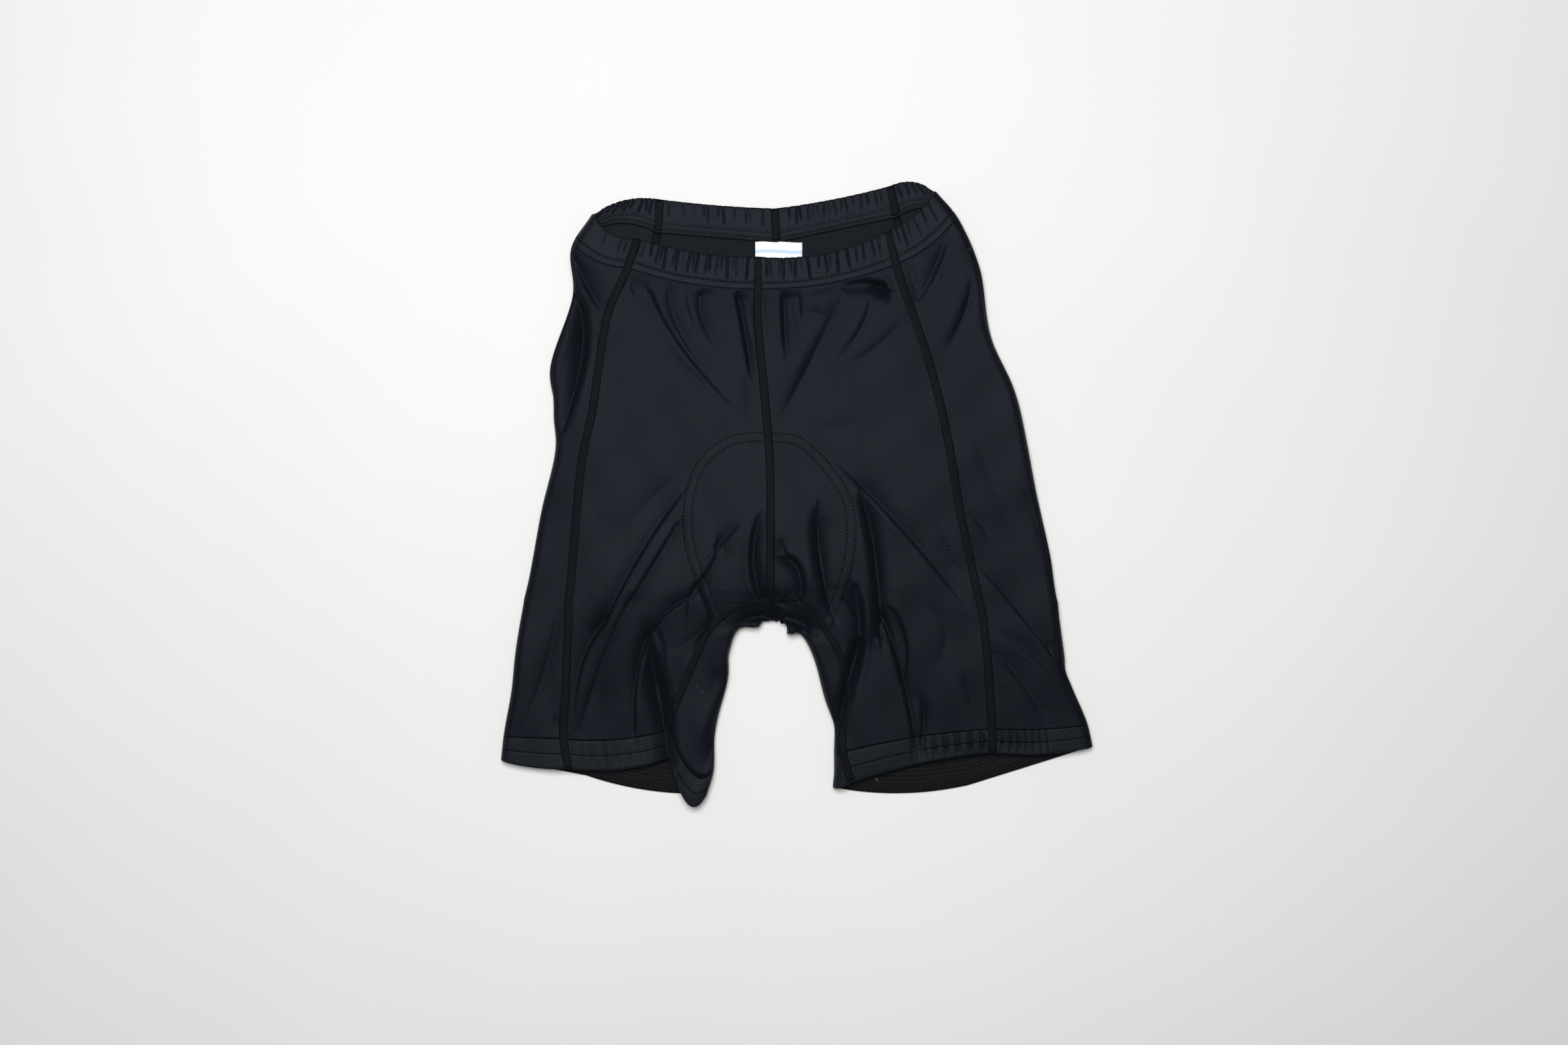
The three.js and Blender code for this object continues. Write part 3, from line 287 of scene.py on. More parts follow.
RUNS = np.array([row["run"] for row in SECTIONS], float)
RUN_OF = {row["name"]: row["run"] for row in SECTIONS}
BAND_SEAM = RUN_OF["band seam"]
CROTCH = RUN_OF["crotch"]
HEM_LINE = RUN_OF["hem line"]
HEM_EDGE = RUN_OF["hem edge"]
CURVE_STEPS = 40  # of a section's curve to its edge, closer together there
CROWDED = 1 - (1 - np.arange(CURVE_STEPS + 1) / CURVE_STEPS) ** 2
HANDS = {"right": 1, "left": -1}
FRONT_STEPS = 16
LINE_STEPS = 15
STEPS_BETWEEN = 12

# The upper layer's soft waves: each one's height and lengths, and the lengths that bend it
WAVES = table(
    ("height", "across", "down", "bent_across", "bent_down"),
    [
        (0.5, 19, 47, math.inf, math.inf),
        (0.5, -61, 23, math.inf, math.inf),
        (0.22, 6.1, 17, math.inf, 29),
        (0.22, -11, 8.3, 37, math.inf),
    ],
)


def mix(a, b, t):
    return a + (b - a) * t


def rounded(distance, width):
    """1 on a line, easing to nothing on both sides of it."""
    return np.exp(-(distance / width) ** 2)


def opened(distance, reach):
    """How far a fold has opened at a distance in from its edge: 0 at the edge, 1 where it is flat."""
    if not reach:
        return np.ones_like(distance)
    return np.sqrt(1 - np.clip(1 - distance / reach, 0, 1) ** 2)


def bowed(start, end, bow, hand, t):
    start, end = np.array(start, float), np.array(end, float)
    direction = (end - start) / np.linalg.norm(end - start)
    swell = bow * 4 * t * (1 - t) * hand
    return start + np.outer(t, end - start) + np.outer(swell, (-direction[1], direction[0]))


def rows_of(places, z, share):
    return np.column_stack([places, z, share])


def front_curve(plan, section, hand):
    t = np.linspace(0, 1, FRONT_STEPS)
    places = bowed((plan["cx"], plan["cy"]), (plan["fx"], plan["fy"]), plan["bow_front"], hand, t)
    return rows_of(places, mix(section["centre"], section["side"], t), np.ones_like(t))


def side_curve(plan, section, hand):
    edge = np.array((plan["ex"], plan["ey"]), float)
    above = bowed((plan["fx"], plan["fy"]), edge, plan["bow_side"], hand, CROWDED)
    open_above = opened(np.hypot(*(above - edge).T), SIDE_FOLD_REACH)
    height = mix(section["side"], section["fold"], CROWDED) * (1 + open_above) / 2
    below = bowed((plan["bx"], plan["by"]), edge, plan["bow_under"], -hand, CROWDED)
    open_below = opened(np.hypot(*(below - edge).T), SIDE_FOLD_REACH)
    lower = rows_of(below, section["fold"] * (1 - open_below) / 2, np.zeros_like(open_below))
    return np.vstack([rows_of(above, height, open_above), lower[::-1][1:]])


def back_curve(plan, section, hand):
    edge = np.array((plan["kx"], plan["ky"]), float)
    reach = INNER_FOLD_REACH if section["lap"] else 0
    below = bowed((plan["bx"], plan["by"]), edge, plan["bow_back"], hand, CROWDED)
    open_below = opened(np.hypot(*(below - edge).T), reach)
    lower = rows_of(below, section["inner_fold"] * (1 - open_below) / 2, np.zeros_like(open_below))
    if section["lap"] < 2:
        return lower
    whole = (1 - CROWDED[::-1]) * (0.5 if section["lap"] == 2 else 1)
    start, middle, end = (1 - whole) * (1 - 2 * whole), 4 * whole * (1 - whole), whole * (2 * whole - 1)
    x = start * plan["kx"] + middle * plan["mx"] + end * plan["cx"]
    y = start * plan["ky"] + middle * plan["my"] + end * plan["cy"]
    z = start * section["inner_fold"] + middle * section["lap_top"] + end * section["centre"]
    lapped = opened(np.hypot(x - edge[0], y - edge[1]), reach)
    upper = rows_of(np.column_stack([x, y]), z * (1 + lapped) / 2, lapped)
    return np.vstack([lower, upper[1:]])


def measured(points):
    """A curve with the length at each of its points."""
    steps = np.linalg.norm(np.diff(points[:, :3], axis=0), axis=1)
    return points, np.concatenate([[0], np.cumsum(steps)])


def at(curve, share):
    points, lengths = curve
    wanted = np.clip(share, 0, 1) * lengths[-1]
    return np.column_stack([np.interp(wanted, lengths, column) for column in points.T])


def half_sections(rows, hand):
    """Each section's curves: w is 0 at the centre front or inseam, 1 side front, 2 side, 3 side back,
    4 centre back or inseam again."""
    curves = []
    for plan, section in zip(rows, SECTIONS):
        side = measured(side_curve(plan, section, hand))
        quarter = math.pi / 2 * math.hypot(SIDE_FOLD_REACH, section["fold"] / 2) * math.sqrt(0.5)
        turned = side[1][CURVE_STEPS] + (plan["turn"] - 50) / 50 * quarter
        curves.append({
            "front": measured(front_curve(plan, section, hand)),
            "side": side,
            "split": turned / side[1][-1],
            "back": measured(back_curve(plan, section, hand)),
        })
    return curves


HALVES = {1: half_sections(RIGHT, 1), -1: half_sections(LEFT, -1)}


def section_points(curves, w):
    split = curves["split"]
    front = at(curves["front"], w)
    side = at(curves["side"], np.where(w <= 2, (w - 1) * split, mix(split, 1, w - 2)))
    back = at(curves["back"], w - 3)
    return np.where((w <= 1)[:, None], front, np.where((w <= 3)[:, None], side, back))


def lofted(hand, run, w):
    """The smooth surface through one half's sections, as x, y, z and the share of creases it takes."""
    places = np.stack([section_points(curves, w) for curves in HALVES[hand]])
    gaps = np.diff(RUNS)[:, None, None]
    steps = np.diff(places, axis=0) / gaps
    between = (steps[:-1] * gaps[1:] + steps[1:] * gaps[:-1]) / (gaps[1:] + gaps[:-1])
    slopes = np.concatenate([steps[:1], between, steps[-1:]])
    index = np.clip(np.searchsorted(RUNS, run) - 1, 0, len(RUNS) - 2)
    each = np.arange(len(run))
    span = (RUNS[index + 1] - RUNS[index])[:, None]
    t = (run - RUNS[index])[:, None] / span
    held = places[index, each] * (1 + 2 * t) * (1 - t) ** 2 + places[index + 1, each] * t * t * (3 - 2 * t)
    led = slopes[index, each] * t * (1 - t) ** 2 - slopes[index + 1, each] * t * t * (1 - t)
    return held + span * led


def joined(hand, run, w):
    """The halves meet on one centre line down to the crotch, and each leg's back comes to its inseam."""
    point = lofted(hand, run, w)
    near = np.flatnonzero((w <= 1) | (w >= 3))
    if not len(near):
        return point
    run, w = run[near], w[near]
    end = np.where(w <= 1, 0.0, 4.0)
    share = (1 - np.abs(w - end)) ** 3
    own = lofted(hand, run, end)
    above = run <= CROTCH
    other = np.where(above[:, None], lofted(-hand, run, end), lofted(hand, run, 4 - end))
    pull = np.where(above, share / 2, np.where(w <= 1, 0, share))
    point[near] += (other - own) * pull[:, None]
    return point


def line_through(fold):
    """A bent line through a fold's three places."""
    t = np.linspace(0, 1, LINE_STEPS)
    parts = ((1 - t) * (1 - 2 * t), 4 * t * (1 - t), t * (2 * t - 1))
    x = sum(part * fold[key] for part, key in zip(parts, ("x0", "x1", "x2")))
    y = sum(part * fold[key] for part, key in zip(parts, ("y0", "y1", "y2")))
    return np.column_stack([x, y])


def beside(line, places):
    """Each place's signed distance to a line, left of it positive, and the share of the line there."""
    nearest = np.full(len(places), np.inf)
    share = np.zeros(len(places))
    side = np.ones(len(places))
    for index, (start, end) in enumerate(zip(line[:-1], line[1:])):
        way = end - start
        offset = places - start
        t = np.clip(offset @ way / (way @ way), 0, 1)
        distance = np.hypot(*(offset - np.outer(t, way)).T)
        closer = distance < nearest
        nearest[closer] = distance[closer]
        share[closer] = (index + t[closer]) / (len(line) - 1)
        side[closer] = np.sign(way[0] * offset[closer, 1] - way[1] * offset[closer, 0])
    return nearest * side, share


FOLD_LINES = [(fold, line_through(fold)) for fold in FOLDS]

# How a crease's slopes run, in widths from its bottom
CREASE_REACH = 5.2  # past which no slope is left
NARROWED = 0.2  # how much narrower a crease is where it is weakest
SOFT_SHARE = 0.85  # of the soft side's slope that falls off at SOFT_RATE
SOFT_RATE = 0.85
SOFT_ROUND = 1.7  # how wide the rest of it is
SOFT_REST = 0.01  # taken off, so that the soft side ends in nothing
CRISP_RATE = 1.15
CRISP_BEND = 1.15
SHOULDER = 0.07  # height of the ridge beside the crisp side, as a share of the crease's depth
SHOULDER_AT = 2.8
SHOULDER_WIDTH = 1.1
RISES_OVER = 0.35  # shares of a crease's line over which it deepens and then fades
FADES_OVER = 0.55


def fade(share, start, end):
    """A crease's strength along it: start and end at its ends and 1 between them."""
    rising = start + (1 - start) * np.sin(np.pi / 2 * np.clip(share / RISES_OVER, 0, 1))
    falling = end + (1 - end) * np.sin(np.pi / 2 * np.clip((1 - share) / FADES_OVER, 0, 1))
    return rising * falling


def crease_drop(places):
    """How far the creases lower the upper layer at each place: sharp at the bottom, easing out."""
    drop = np.zeros(len(places))
    for fold, line in FOLD_LINES:
        soft = max(abs(fold["soft"]), 1)
        reach = fold["width"] * soft * CREASE_REACH
        low, high = line.min(0) - reach, line.max(0) + reach
        near = np.flatnonzero(((places > low) & (places < high)).all(axis=1))
        if not len(near):
            continue
        distance, share = beside(line, places[near])
        strength = fade(share, fold["start"], fold["end"])
        softer = distance > 0 if fold["soft"] > 0 else distance < 0
        width = fold["width"] * np.where(softer, soft, 1) * (1 - NARROWED + NARROWED * strength)
        across = np.abs(distance) / width
        if fold["depth"] < 0:
            drop[near] += fold["depth"] * strength * rounded(across, 1)
            continue
        easy = SOFT_SHARE * np.exp(-SOFT_RATE * across) + (1 - SOFT_SHARE) * rounded(across, SOFT_ROUND)
        easy = np.maximum(easy - SOFT_REST, 0)
        steep = np.exp(-CRISP_RATE * across ** CRISP_BEND)
        shoulder = SHOULDER * np.where(softer, 0, rounded(across - SHOULDER_AT, SHOULDER_WIDTH))
        drop[near] += fold["depth"] * strength * (np.where(softer, easy, steep) - shoulder)
    return drop


def smooth_line(points, count):
    """Points evenly spaced along a smooth curve through the given ones."""
    points = np.array(points, float)
    padded = np.vstack([2 * points[0] - points[1], points, 2 * points[-1] - points[-2]])
    fine = []
    for a, b, c, d in zip(padded[:-3], padded[1:-2], padded[2:-1], padded[3:]):
        for t in np.linspace(0, 1, STEPS_BETWEEN, endpoint=False):
            fine.append(0.5 * (2 * b + (c - a) * t + (2 * a - 5 * b + 4 * c - d) * t ** 2
                               + (3 * b - a - 3 * c + d) * t ** 3))
    fine = np.array(fine + [points[-1]])
    lengths = np.concatenate([[0], np.cumsum(np.linalg.norm(np.diff(fine, axis=0), axis=1))])
    wanted = np.linspace(0, lengths[-1], count)
    return np.column_stack([np.interp(wanted, lengths, column) for column in fine.T])


PAD_LINE = smooth_line([(row["x"], row["y"]) for row in PAD_EDGE], 60)


def pad_relief(places):
    """The pad's two stitched rows sink into the front, and the cloth between and inside them puffs."""
    relief = np.zeros(len(places))
    low, high = PAD_LINE.min(0) - 10, PAD_LINE.max(0) + 10
    near = np.flatnonzero(((places > low) & (places < high)).all(axis=1))
    if len(near):
        distance, _ = beside(PAD_LINE, places[near])
        inward = -distance
        rows = rounded(inward, PAD_GROOVE_WIDTH) + rounded(inward - PAD_ROWS_APART, PAD_GROOVE_WIDTH)
        puff = rounded(inward - PAD_ROWS_APART / 2, PAD_PUFF_WIDTH)
        crown = np.clip(inward - PAD_ROWS_APART, 0, PAD_CROWN_REACH) / PAD_CROWN_REACH
        relief[near] = PAD_PUFF * puff + PAD_CROWN * crown - PAD_GROOVE * rows
    return relief


def waves(x, y):
    """How far the soft waves lower the upper layer."""
    sunk = np.zeros(len(x))
    for wave in WAVES:
        bend = np.sin(x / wave["bent_across"] + y / wave["bent_down"])
        sunk += wave["height"] * np.sin(x / wave["across"] + y / wave["down"] + bend)
    return sunk


def surface(hand, run, w):
    """The shorts' outside, in millimetres, at arrays of run and w."""
    x, y, base, top = joined(hand, run, w).T
    upper = np.clip(top, 0, 1)
    places = np.column_stack([x, y])
    front = (w < PAD_SHOWS_TO) * upper
    clear = np.sin(np.pi / 2 * np.clip((run - CLEAR_OF_BAND) / CLEARING, 0, 1)) ** 2
    sunk = crease_drop(places) * clear + waves(x, y)
    height = np.maximum(base, 0) - upper * sunk + front * pad_relief(places)
    height = np.maximum(height, upper * LOWEST_TOP)
    height += LIFT * np.clip(1 - height / SIDE_FOLD_REACH, 0, 1)
    return np.column_stack([x, y, height])


def reached(hand, run, w):
    """The surface past a half's own edges: the other half, or the same leg's other side."""
    point = surface(hand, run, np.clip(w, 0, 4))
    for past, across, round_leg in ((w < 0, -w, w + 4), (w > 4, 8 - w, w - 4)):
        above = np.flatnonzero(past & (run <= CROTCH))
        below = np.flatnonzero(past & (run > CROTCH))
        if len(above):
            point[above] = surface(-hand, run[above], across[above])
        if len(below):
            point[below] = surface(hand, run[below], round_leg[below])
    return point


def unit(vectors):
    return vectors / np.maximum(np.linalg.norm(vectors, axis=-1, keepdims=True), 1e-9)


STEP_DOWN = 1.2  # the steps down and round the shorts that show which way is outward
STEP_ROUND = 0.01


def outside(hand, run, w):
    """Places on the outside, with the outward directions there."""
    first = np.where(run <= CROTCH, 0, CROTCH)
    last = np.where(run <= CROTCH, CROTCH, HEM_EDGE)
    above = surface(hand, np.maximum(run - STEP_DOWN, first), w)
    below = surface(hand, np.minimum(run + STEP_DOWN, last), w)
    round_way = reached(hand, run, w + STEP_ROUND) - reached(hand, run, w - STEP_ROUND)
    return surface(hand, run, w), -hand * unit(np.cross(below - above, round_way))


# Meshes
CHART_UNIT = 100  # millimetres of cloth to one of its weave chart


def grid_wall(name, outer, inner, chart, finish, inside=None):
    """A closed wall of cloth from a grid of outer places and one of inner places, in millimetres.

    chart is the cloth's own flat place at each grid point, for its weave, and inside the finish
    of the wall's inner side where that is another.
    """
    rows, columns = outer.shape[:2]
    bm = bmesh.new()
    bmesh.ops.create_grid(bm, x_segments=columns - 1, y_segments=rows - 1, size=1)
    place = bm.verts.layers.int.new("place")
    for vert in bm.verts:
        column = round((vert.co.x + 1) / 2 * (columns - 1))
        row = round((vert.co.y + 1) / 2 * (rows - 1))
        vert[place] = row * columns + column
    made = bmesh.ops.extrude_face_region(bm, geom=bm.faces[:], use_keep_orig=True)
    added = [item for item in made["geom"] if isinstance(item, bmesh.types.BMVert)]
    if inside:
        for item in made["geom"]:
            if isinstance(item, bmesh.types.BMFace):
                item.material_index = 1
    lining = (inner.reshape(-1, 3) * MM).tolist()
    facing = (outer.reshape(-1, 3) * MM).tolist()
    flat = (chart.reshape(-1, 2) / CHART_UNIT).tolist()
    for vert in bm.verts:
        vert.co = facing[vert[place]]
    for vert in added:
        vert.co = lining[vert[place]]
    bmesh.ops.recalc_face_normals(bm, faces=bm.faces)
    weave = bm.loops.layers.uv.new("weave")
    for face in bm.faces:
        face.smooth = True
        for loop in face.loops:
            loop[weave].uv = flat[loop.vert[place]]
    bm.verts.layers.int.remove(place)
    return finished(name, bm, finish, inside)


def finished(name, bm, finish, inside=None):
    mesh = bpy.data.meshes.new(name)
    bm.to_mesh(mesh)
    bm.free()
    mesh.materials.append(finish)
    if inside:
        mesh.materials.append(inside)
    piece = bpy.data.objects.new(name, mesh)
    bpy.context.scene.collection.objects.link(piece)
    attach(piece, "root")
    return piece


def steps_between(first, last, length, cell):
    return np.linspace(first, last, max(2, round(length / cell) + 1))


def grid_normals(points, hand):
    down = np.gradient(points, axis=0)
    round_way = np.gradient(points, axis=1)
    return -hand * unit(np.cross(down, round_way))


def grid_chart(points):
    """Lengths across and down a grid, for the weave."""
    across = np.linalg.norm(np.diff(points, axis=1), axis=2).mean(axis=0)
    down = np.linalg.norm(np.diff(points, axis=0), axis=2).mean(axis=1)
    u = np.concatenate([[0], np.cumsum(across)])
    v = np.concatenate([[0], np.cumsum(down)])
    return np.stack(np.meshgrid(u, v), axis=2)


def surface_grid(hand, runs, places):
    run, w = np.meshgrid(runs, places, indexing="ij")
    return surface(hand, run.ravel(), w.ravel()).reshape(len(runs), len(places), 3)


# Finishes

def new_finish(name):
    finish = bpy.data.materials.new(name)
    finish.use_nodes = True
    nodes = finish.node_tree.nodes
    return finish, nodes, finish.node_tree.links, nodes["Principled BSDF"]


def weave_place(nodes):
    chart = nodes.new("ShaderNodeUVMap")
    chart.uv_map = "weave"
    return chart.outputs["UV"]


MOTTLE_DETAIL = 4
MOTTLE_FROM = 0.35  # where a mottled shade leaves its dark end and comes to its light one
MOTTLE_TO = 0.65


def mottled(nodes, links, vector, scale, dark, light):
    """A colour that wanders between two shades."""
    noise = nodes.new("ShaderNodeTexNoise")
    noise.inputs["Scale"].default_value = scale
    noise.inputs["Detail"].default_value = MOTTLE_DETAIL
    links.new(vector, noise.inputs["Vector"])
    ramp = nodes.new("ShaderNodeValToRGB")
    ramp.color_ramp.elements[0].position = MOTTLE_FROM
    ramp.color_ramp.elements[0].color = (*dark, 1)
    ramp.color_ramp.elements[1].position = MOTTLE_TO
    ramp.color_ramp.elements[1].color = (*light, 1)
    links.new(noise.outputs["Fac"], ramp.inputs["Fac"])
    return ramp.outputs["Color"]


def bumped(nodes, links, height, shader, strength, distance):
    """Adds a relief to a finish, over any it has."""
    bump = nodes.new("ShaderNodeBump")
    for link in shader.inputs["Normal"].links:
        links.new(link.from_socket, bump.inputs["Normal"])
    bump.inputs["Strength"].default_value = strength
    bump.inputs["Distance"].default_value = distance
    links.new(height, bump.inputs["Height"])
    links.new(bump.outputs["Normal"], shader.inputs["Normal"])


WALE = 0.6  # pitch of the knit's fine ribs, in millimetres
WAVE_PERIOD = 0.314  # of Blender's wave texture at a scale of 1
LOOPS = 75  # scale of the knit's uneven loops, and of its mottled shade and a thread's
KNIT_MOTTLE = 90
THREAD_MOTTLE = 900
LOOP_RELIEF = (0.9, 0.00024)  # strength, and height in metres
RIB_RELIEF = (0.35, 0.00012)
COOL_GLOSS = (0.76, 0.86, 1, 1)
COOL_SHEEN = (0.75, 0.83, 1, 1)
COOL_THREAD = (0.74, 0.9, 1, 1)


def knit_finish(name, dark, light, rough, shine, sheen, wale=WALE):
    """Warp-knit nylon and elastane: fine ribs down the cloth, a mottled shade and a satin sheen."""
    finish, nodes, links, shader = new_finish(name)
    vector = weave_place(nodes)
    ribs = nodes.new("ShaderNodeTexWave")
    ribs.bands_direction = "X"
    ribs.inputs["Scale"].default_value = WAVE_PERIOD / (wale / CHART_UNIT)
    ribs.inputs["Distortion"].default_value = 1.5
    ribs.inputs["Detail"].default_value = 2
    ribs.inputs["Detail Scale"].default_value = 3
    links.new(vector, ribs.inputs["Vector"])
    links.new(mottled(nodes, links, vector, KNIT_MOTTLE, dark, light), shader.inputs["Base Color"])
    loops = nodes.new("ShaderNodeTexNoise")
    loops.inputs["Scale"].default_value = LOOPS
    loops.inputs["Detail"].default_value = 1
    links.new(vector, loops.inputs["Vector"])
    bumped(nodes, links, loops.outputs["Fac"], shader, *LOOP_RELIEF)
    bumped(nodes, links, ribs.outputs["Fac"], shader, *RIB_RELIEF)
    shader.inputs["Roughness"].default_value = rough
    shader.inputs["Specular IOR Level"].default_value = shine
    shader.inputs["Specular Tint"].default_value = COOL_GLOSS
    shader.inputs["Sheen Weight"].default_value = sheen
    shader.inputs["Sheen Roughness"].default_value = 0.45
    shader.inputs["Sheen Tint"].default_value = COOL_SHEEN
    return finish


def thread_finish(name, dark, light, shine=0.09):
    """Matt twisted sewing thread."""
    finish, nodes, links, shader = new_finish(name)
    place = nodes.new("ShaderNodeTexCoord").outputs["Object"]
    links.new(mottled(nodes, links, place, THREAD_MOTTLE, dark, light), shader.inputs["Base Color"])
    shader.inputs["Roughness"].default_value = 0.7
    shader.inputs["Specular IOR Level"].default_value = shine
    shader.inputs["Specular Tint"].default_value = COOL_THREAD
    return finish


BLACK = ((0.0030, 0.0040, 0.0066), (0.0046, 0.0060, 0.0097))
# The inside of the cloth is a darker, bluer copy of the cloth's black: painted shade for the inside that lies
# in the waist's mouth. Its higher roughness is the knit's real back face.
INSIDE_SHADED_BLACK = ((0.0032, 0.0035, 0.0064), (0.0047, 0.0052, 0.0094))
# The hems' colour is a lighter copy of the cloth's black: painted light, where the overhead light's highlight
# falls off towards the hems.
HEM_LIT_BLACK = ((0.0040, 0.0050, 0.0076), (0.0058, 0.0073, 0.0108))
# Real matt gripper tape lines the hems; its warm dark grey stands in for the shade inside the back hems:
# painted shade.
TAPE_SHADED_BLACK = ((0.0042, 0.0044, 0.0050), (0.0060, 0.0063, 0.0070))
CLOTH_FINISH = knit_finish("cloth", *BLACK, rough=0.48, shine=0.092, sheen=0.02)
CASING_FINISH = knit_finish("casing", *BLACK, rough=0.51, shine=0.128, sheen=0.02)
INSIDE_SHADED_FINISH = knit_finish("inside of the cloth, painted shade", *INSIDE_SHADED_BLACK, rough=0.56, shine=0.09, sheen=0.02)
TAPE_SHADED_FINISH = knit_finish("gripper tape", *TAPE_SHADED_BLACK, rough=0.6, shine=0.06, sheen=0.01, wale=1.6)
HEM_LIT_FINISH = knit_finish("hem", *HEM_LIT_BLACK, rough=0.54, shine=0.145, sheen=0.02)
THREAD_FINISH = thread_finish("thread", (0.0125, 0.0160, 0.0245), (0.0200, 0.0250, 0.0370))
# Near-black matt thread for the rows of stitching, and also for the cord along the casing's lower edge that
# is painted shadow.
DARK_THREAD_AND_SHADOW_FINISH = thread_finish("dark thread and painted shadow", (0.0010, 0.0012, 0.0016), (0.0020, 0.0023, 0.0030), 0.02)
LIGHT_THREAD_FINISH = thread_finish("light thread", (0.35, 0.36, 0.37), (0.55, 0.56, 0.57))
GRIPPER_FINISH = thread_finish("gripper thread", (0.040, 0.042, 0.045), (0.12, 0.125, 0.13))

# Panels. The cut is each panel's own flat width, length and area before it is sewn and laid down.
FRONT_CENTRE = (0, 1)
FRONT_SIDE = (1, 2)
BACK_SIDE = (2, 3)
BACK_CENTRE = (3, 4)
PANELS = table(
    ("name", "side", "stretch", "cell", "width", "length", "area"),
    [
        ("front_centre", "right", FRONT_CENTRE, FINE_CELL, 0.142, 0.332, 0.036),
        ("front_centre", "left", FRONT_CENTRE, FINE_CELL, 0.150, 0.345, 0.038),
        ("front_side", "right", FRONT_SIDE, FINE_CELL, 0.055, 0.345, 0.013),
        ("front_side", "left", FRONT_SIDE, FINE_CELL, 0.075, 0.350, 0.020),
        ("back_side", "right", BACK_SIDE, BACK_CELL, 0.080, 0.370, 0.018),
        ("back_side", "left", BACK_SIDE, BACK_CELL, 0.090, 0.385, 0.025),
        ("back_centre", "right", BACK_CENTRE, BACK_CELL, 0.135, 0.380, 0.043),
        ("back_centre", "left", BACK_CENTRE, BACK_CELL, 0.130, 0.385, 0.042),
    ],
)


WIDTH_RUN = HEM_LINE * 0.6  # run at which a panel's width is measured, and at how many places
WIDTH_PROBES = 60
CREASED = 1.15  # how much longer its creases make the front
SIDE_STEPS = 50  # at least, of the grids that turn over a fold, and how they crowd at it
SIDE_CROWDING = 0.75
UNDER_STEPS = 42
UNDER_CROWDING = 1.6
INNER_STEPS = 70
INNER_CROWDING = 1.8


def panel_places(hand, stretch, cell):
    """Grid steps round a stretch, closer together where the cloth turns over a fold."""
    probe = np.linspace(*stretch, WIDTH_PROBES)
    line = surface(hand, np.full(WIDTH_PROBES, WIDTH_RUN), probe)
    length = np.linalg.norm(np.diff(line, axis=0), axis=1).sum()
    if stretch == FRONT_SIDE:
        steps = max(SIDE_STEPS, round(length / cell) + 1)
        return mix(1, 2, np.linspace(0, 1, steps) ** SIDE_CROWDING)
    if stretch == BACK_SIDE:
        return mix(2, 3, np.linspace(0, 1, UNDER_STEPS) ** UNDER_CROWDING)
    if stretch == BACK_CENTRE:
        return mix(3, 4, 1 - np.linspace(1, 0, INNER_STEPS) ** INNER_CROWDING)
    return steps_between(*stretch, length * CREASED, cell)


def panel(row):
    hand = HANDS[row["side"]]
    places = panel_places(hand, row["stretch"], row["cell"])
    runs = steps_between(BAND_SEAM - 1, HEM_LINE + 1, HEM_LINE - BAND_SEAM, row["cell"])
    outer = surface_grid(hand, runs, places)
    normals = grid_normals(outer, hand)
    inner = outer - normals * CLOTH
    inner[..., 2] = np.maximum(inner[..., 2], LIFT / 2)
    name = f"{row['name']}_{row['side']}"
    piece = grid_wall(f"{name}_cloth", outer, inner, grid_chart(outer), CLOTH_FINISH, INSIDE_SHADED_FINISH)
    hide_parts(name)
    return piece


panels = [panel(row) for row in PANELS]


# Waist casing
LIP = 1.6  # how far from its edge the casing rounds over
TROUGH_WIDTH = 0.52
CASING_CELL = 0.45


# Gathers of the casing, as they show from above: where each is across the shorts in millimetres, and
# how deep it is as a share of GATHER_DEPTH
FRONT_GATHERS = table(
    ("x", "deep"),
    [
        (-137, 0.2), (-126, 0.3), (-122, 0.35), (-117, 0.3), (-112.5, 0.7),
        (-109, 0.3), (-103, 0.7), (-98.5, 0.5), (-96, 0.75), (-93, 1), (-87, 0.5), (-84.5, 0.75),
        (-80.5, 0.15), (-76.5, 0.75), (-73, 0.4), (-70.5, 0.95), (-64, 0.5), (-61.5, 0.9), (-56.5, 0.35),
        (-53, 0.4), (-49, 0.85), (-45, 0.3), (-42.5, 0.35), (-38.5, 0.15), (-35, 1.1),
        (-21, 0.6), (-18.5, 0.4),
        (-12, 0.3), (-9.5, 0.85), (-4, 0.35), (-1, 0.75), (3.5, 0.15), (8.5, 1.1), (15.5, 0.85), (21, 0.6),
        (24, 0.3), (29, 1.1), (36.5, 1.25), (42.5, 0.4), (47.5, 0.5), (54.5, 0.55), (59, 0.35), (72.5, 0.4),
        (76.5, 0.6), (80.5, 0.3), (86, 0.3), (91.5, 0.6), (96.5, 0.5),
    ],
)
BACK_GATHERS = table(
    ("x", "deep"),
    [
        (-142, 1.3), (-138.5, 1.1), (-133.5, 1.3), (-128, 1.0), (-124.5, 1.2), (-121, 0.9), (-117.5, 1.1),
        (-111, 0.9), (-107, 0.7), (-104, 0.9), (-91, 0.5), (-80.5, 0.35), (-73, 0.2), (-66, 0.45), (-63, 0.5),
        (-56, 0.5), (-52, 0.7), (-44, 0.4), (-36, 0.35), (-33, 0.3), (-24, 0.5),
        (-17, 0.6), (-5, 0.7), (0, 0.7),
        (3, 0.8), (8.5, 0.55), (12, 0.3), (15.5, 0.3), (19.5, 0.55), (23.5, 0.3), (27.5, 0.5), (32, 0.45),
        (35.5, 0.5), (41, 0.45), (46, 0.5), (51, 0.75), (57, 0.4), (60.5, 0.45), (73.5, 0.7), (79, 0.7),
        (84, 0.6), (88.5, 0.7), (92.5, 0.6),
    ],
)
GATHER_PROBE = 8  # run at which the gathers' places are measured
GATHER_PROBES = 500
LEAST_REACH = 9.0  # how far down gathers go, and how much further some do
MORE_REACH = 8.0
LEAN = 0.09  # the most that one leans
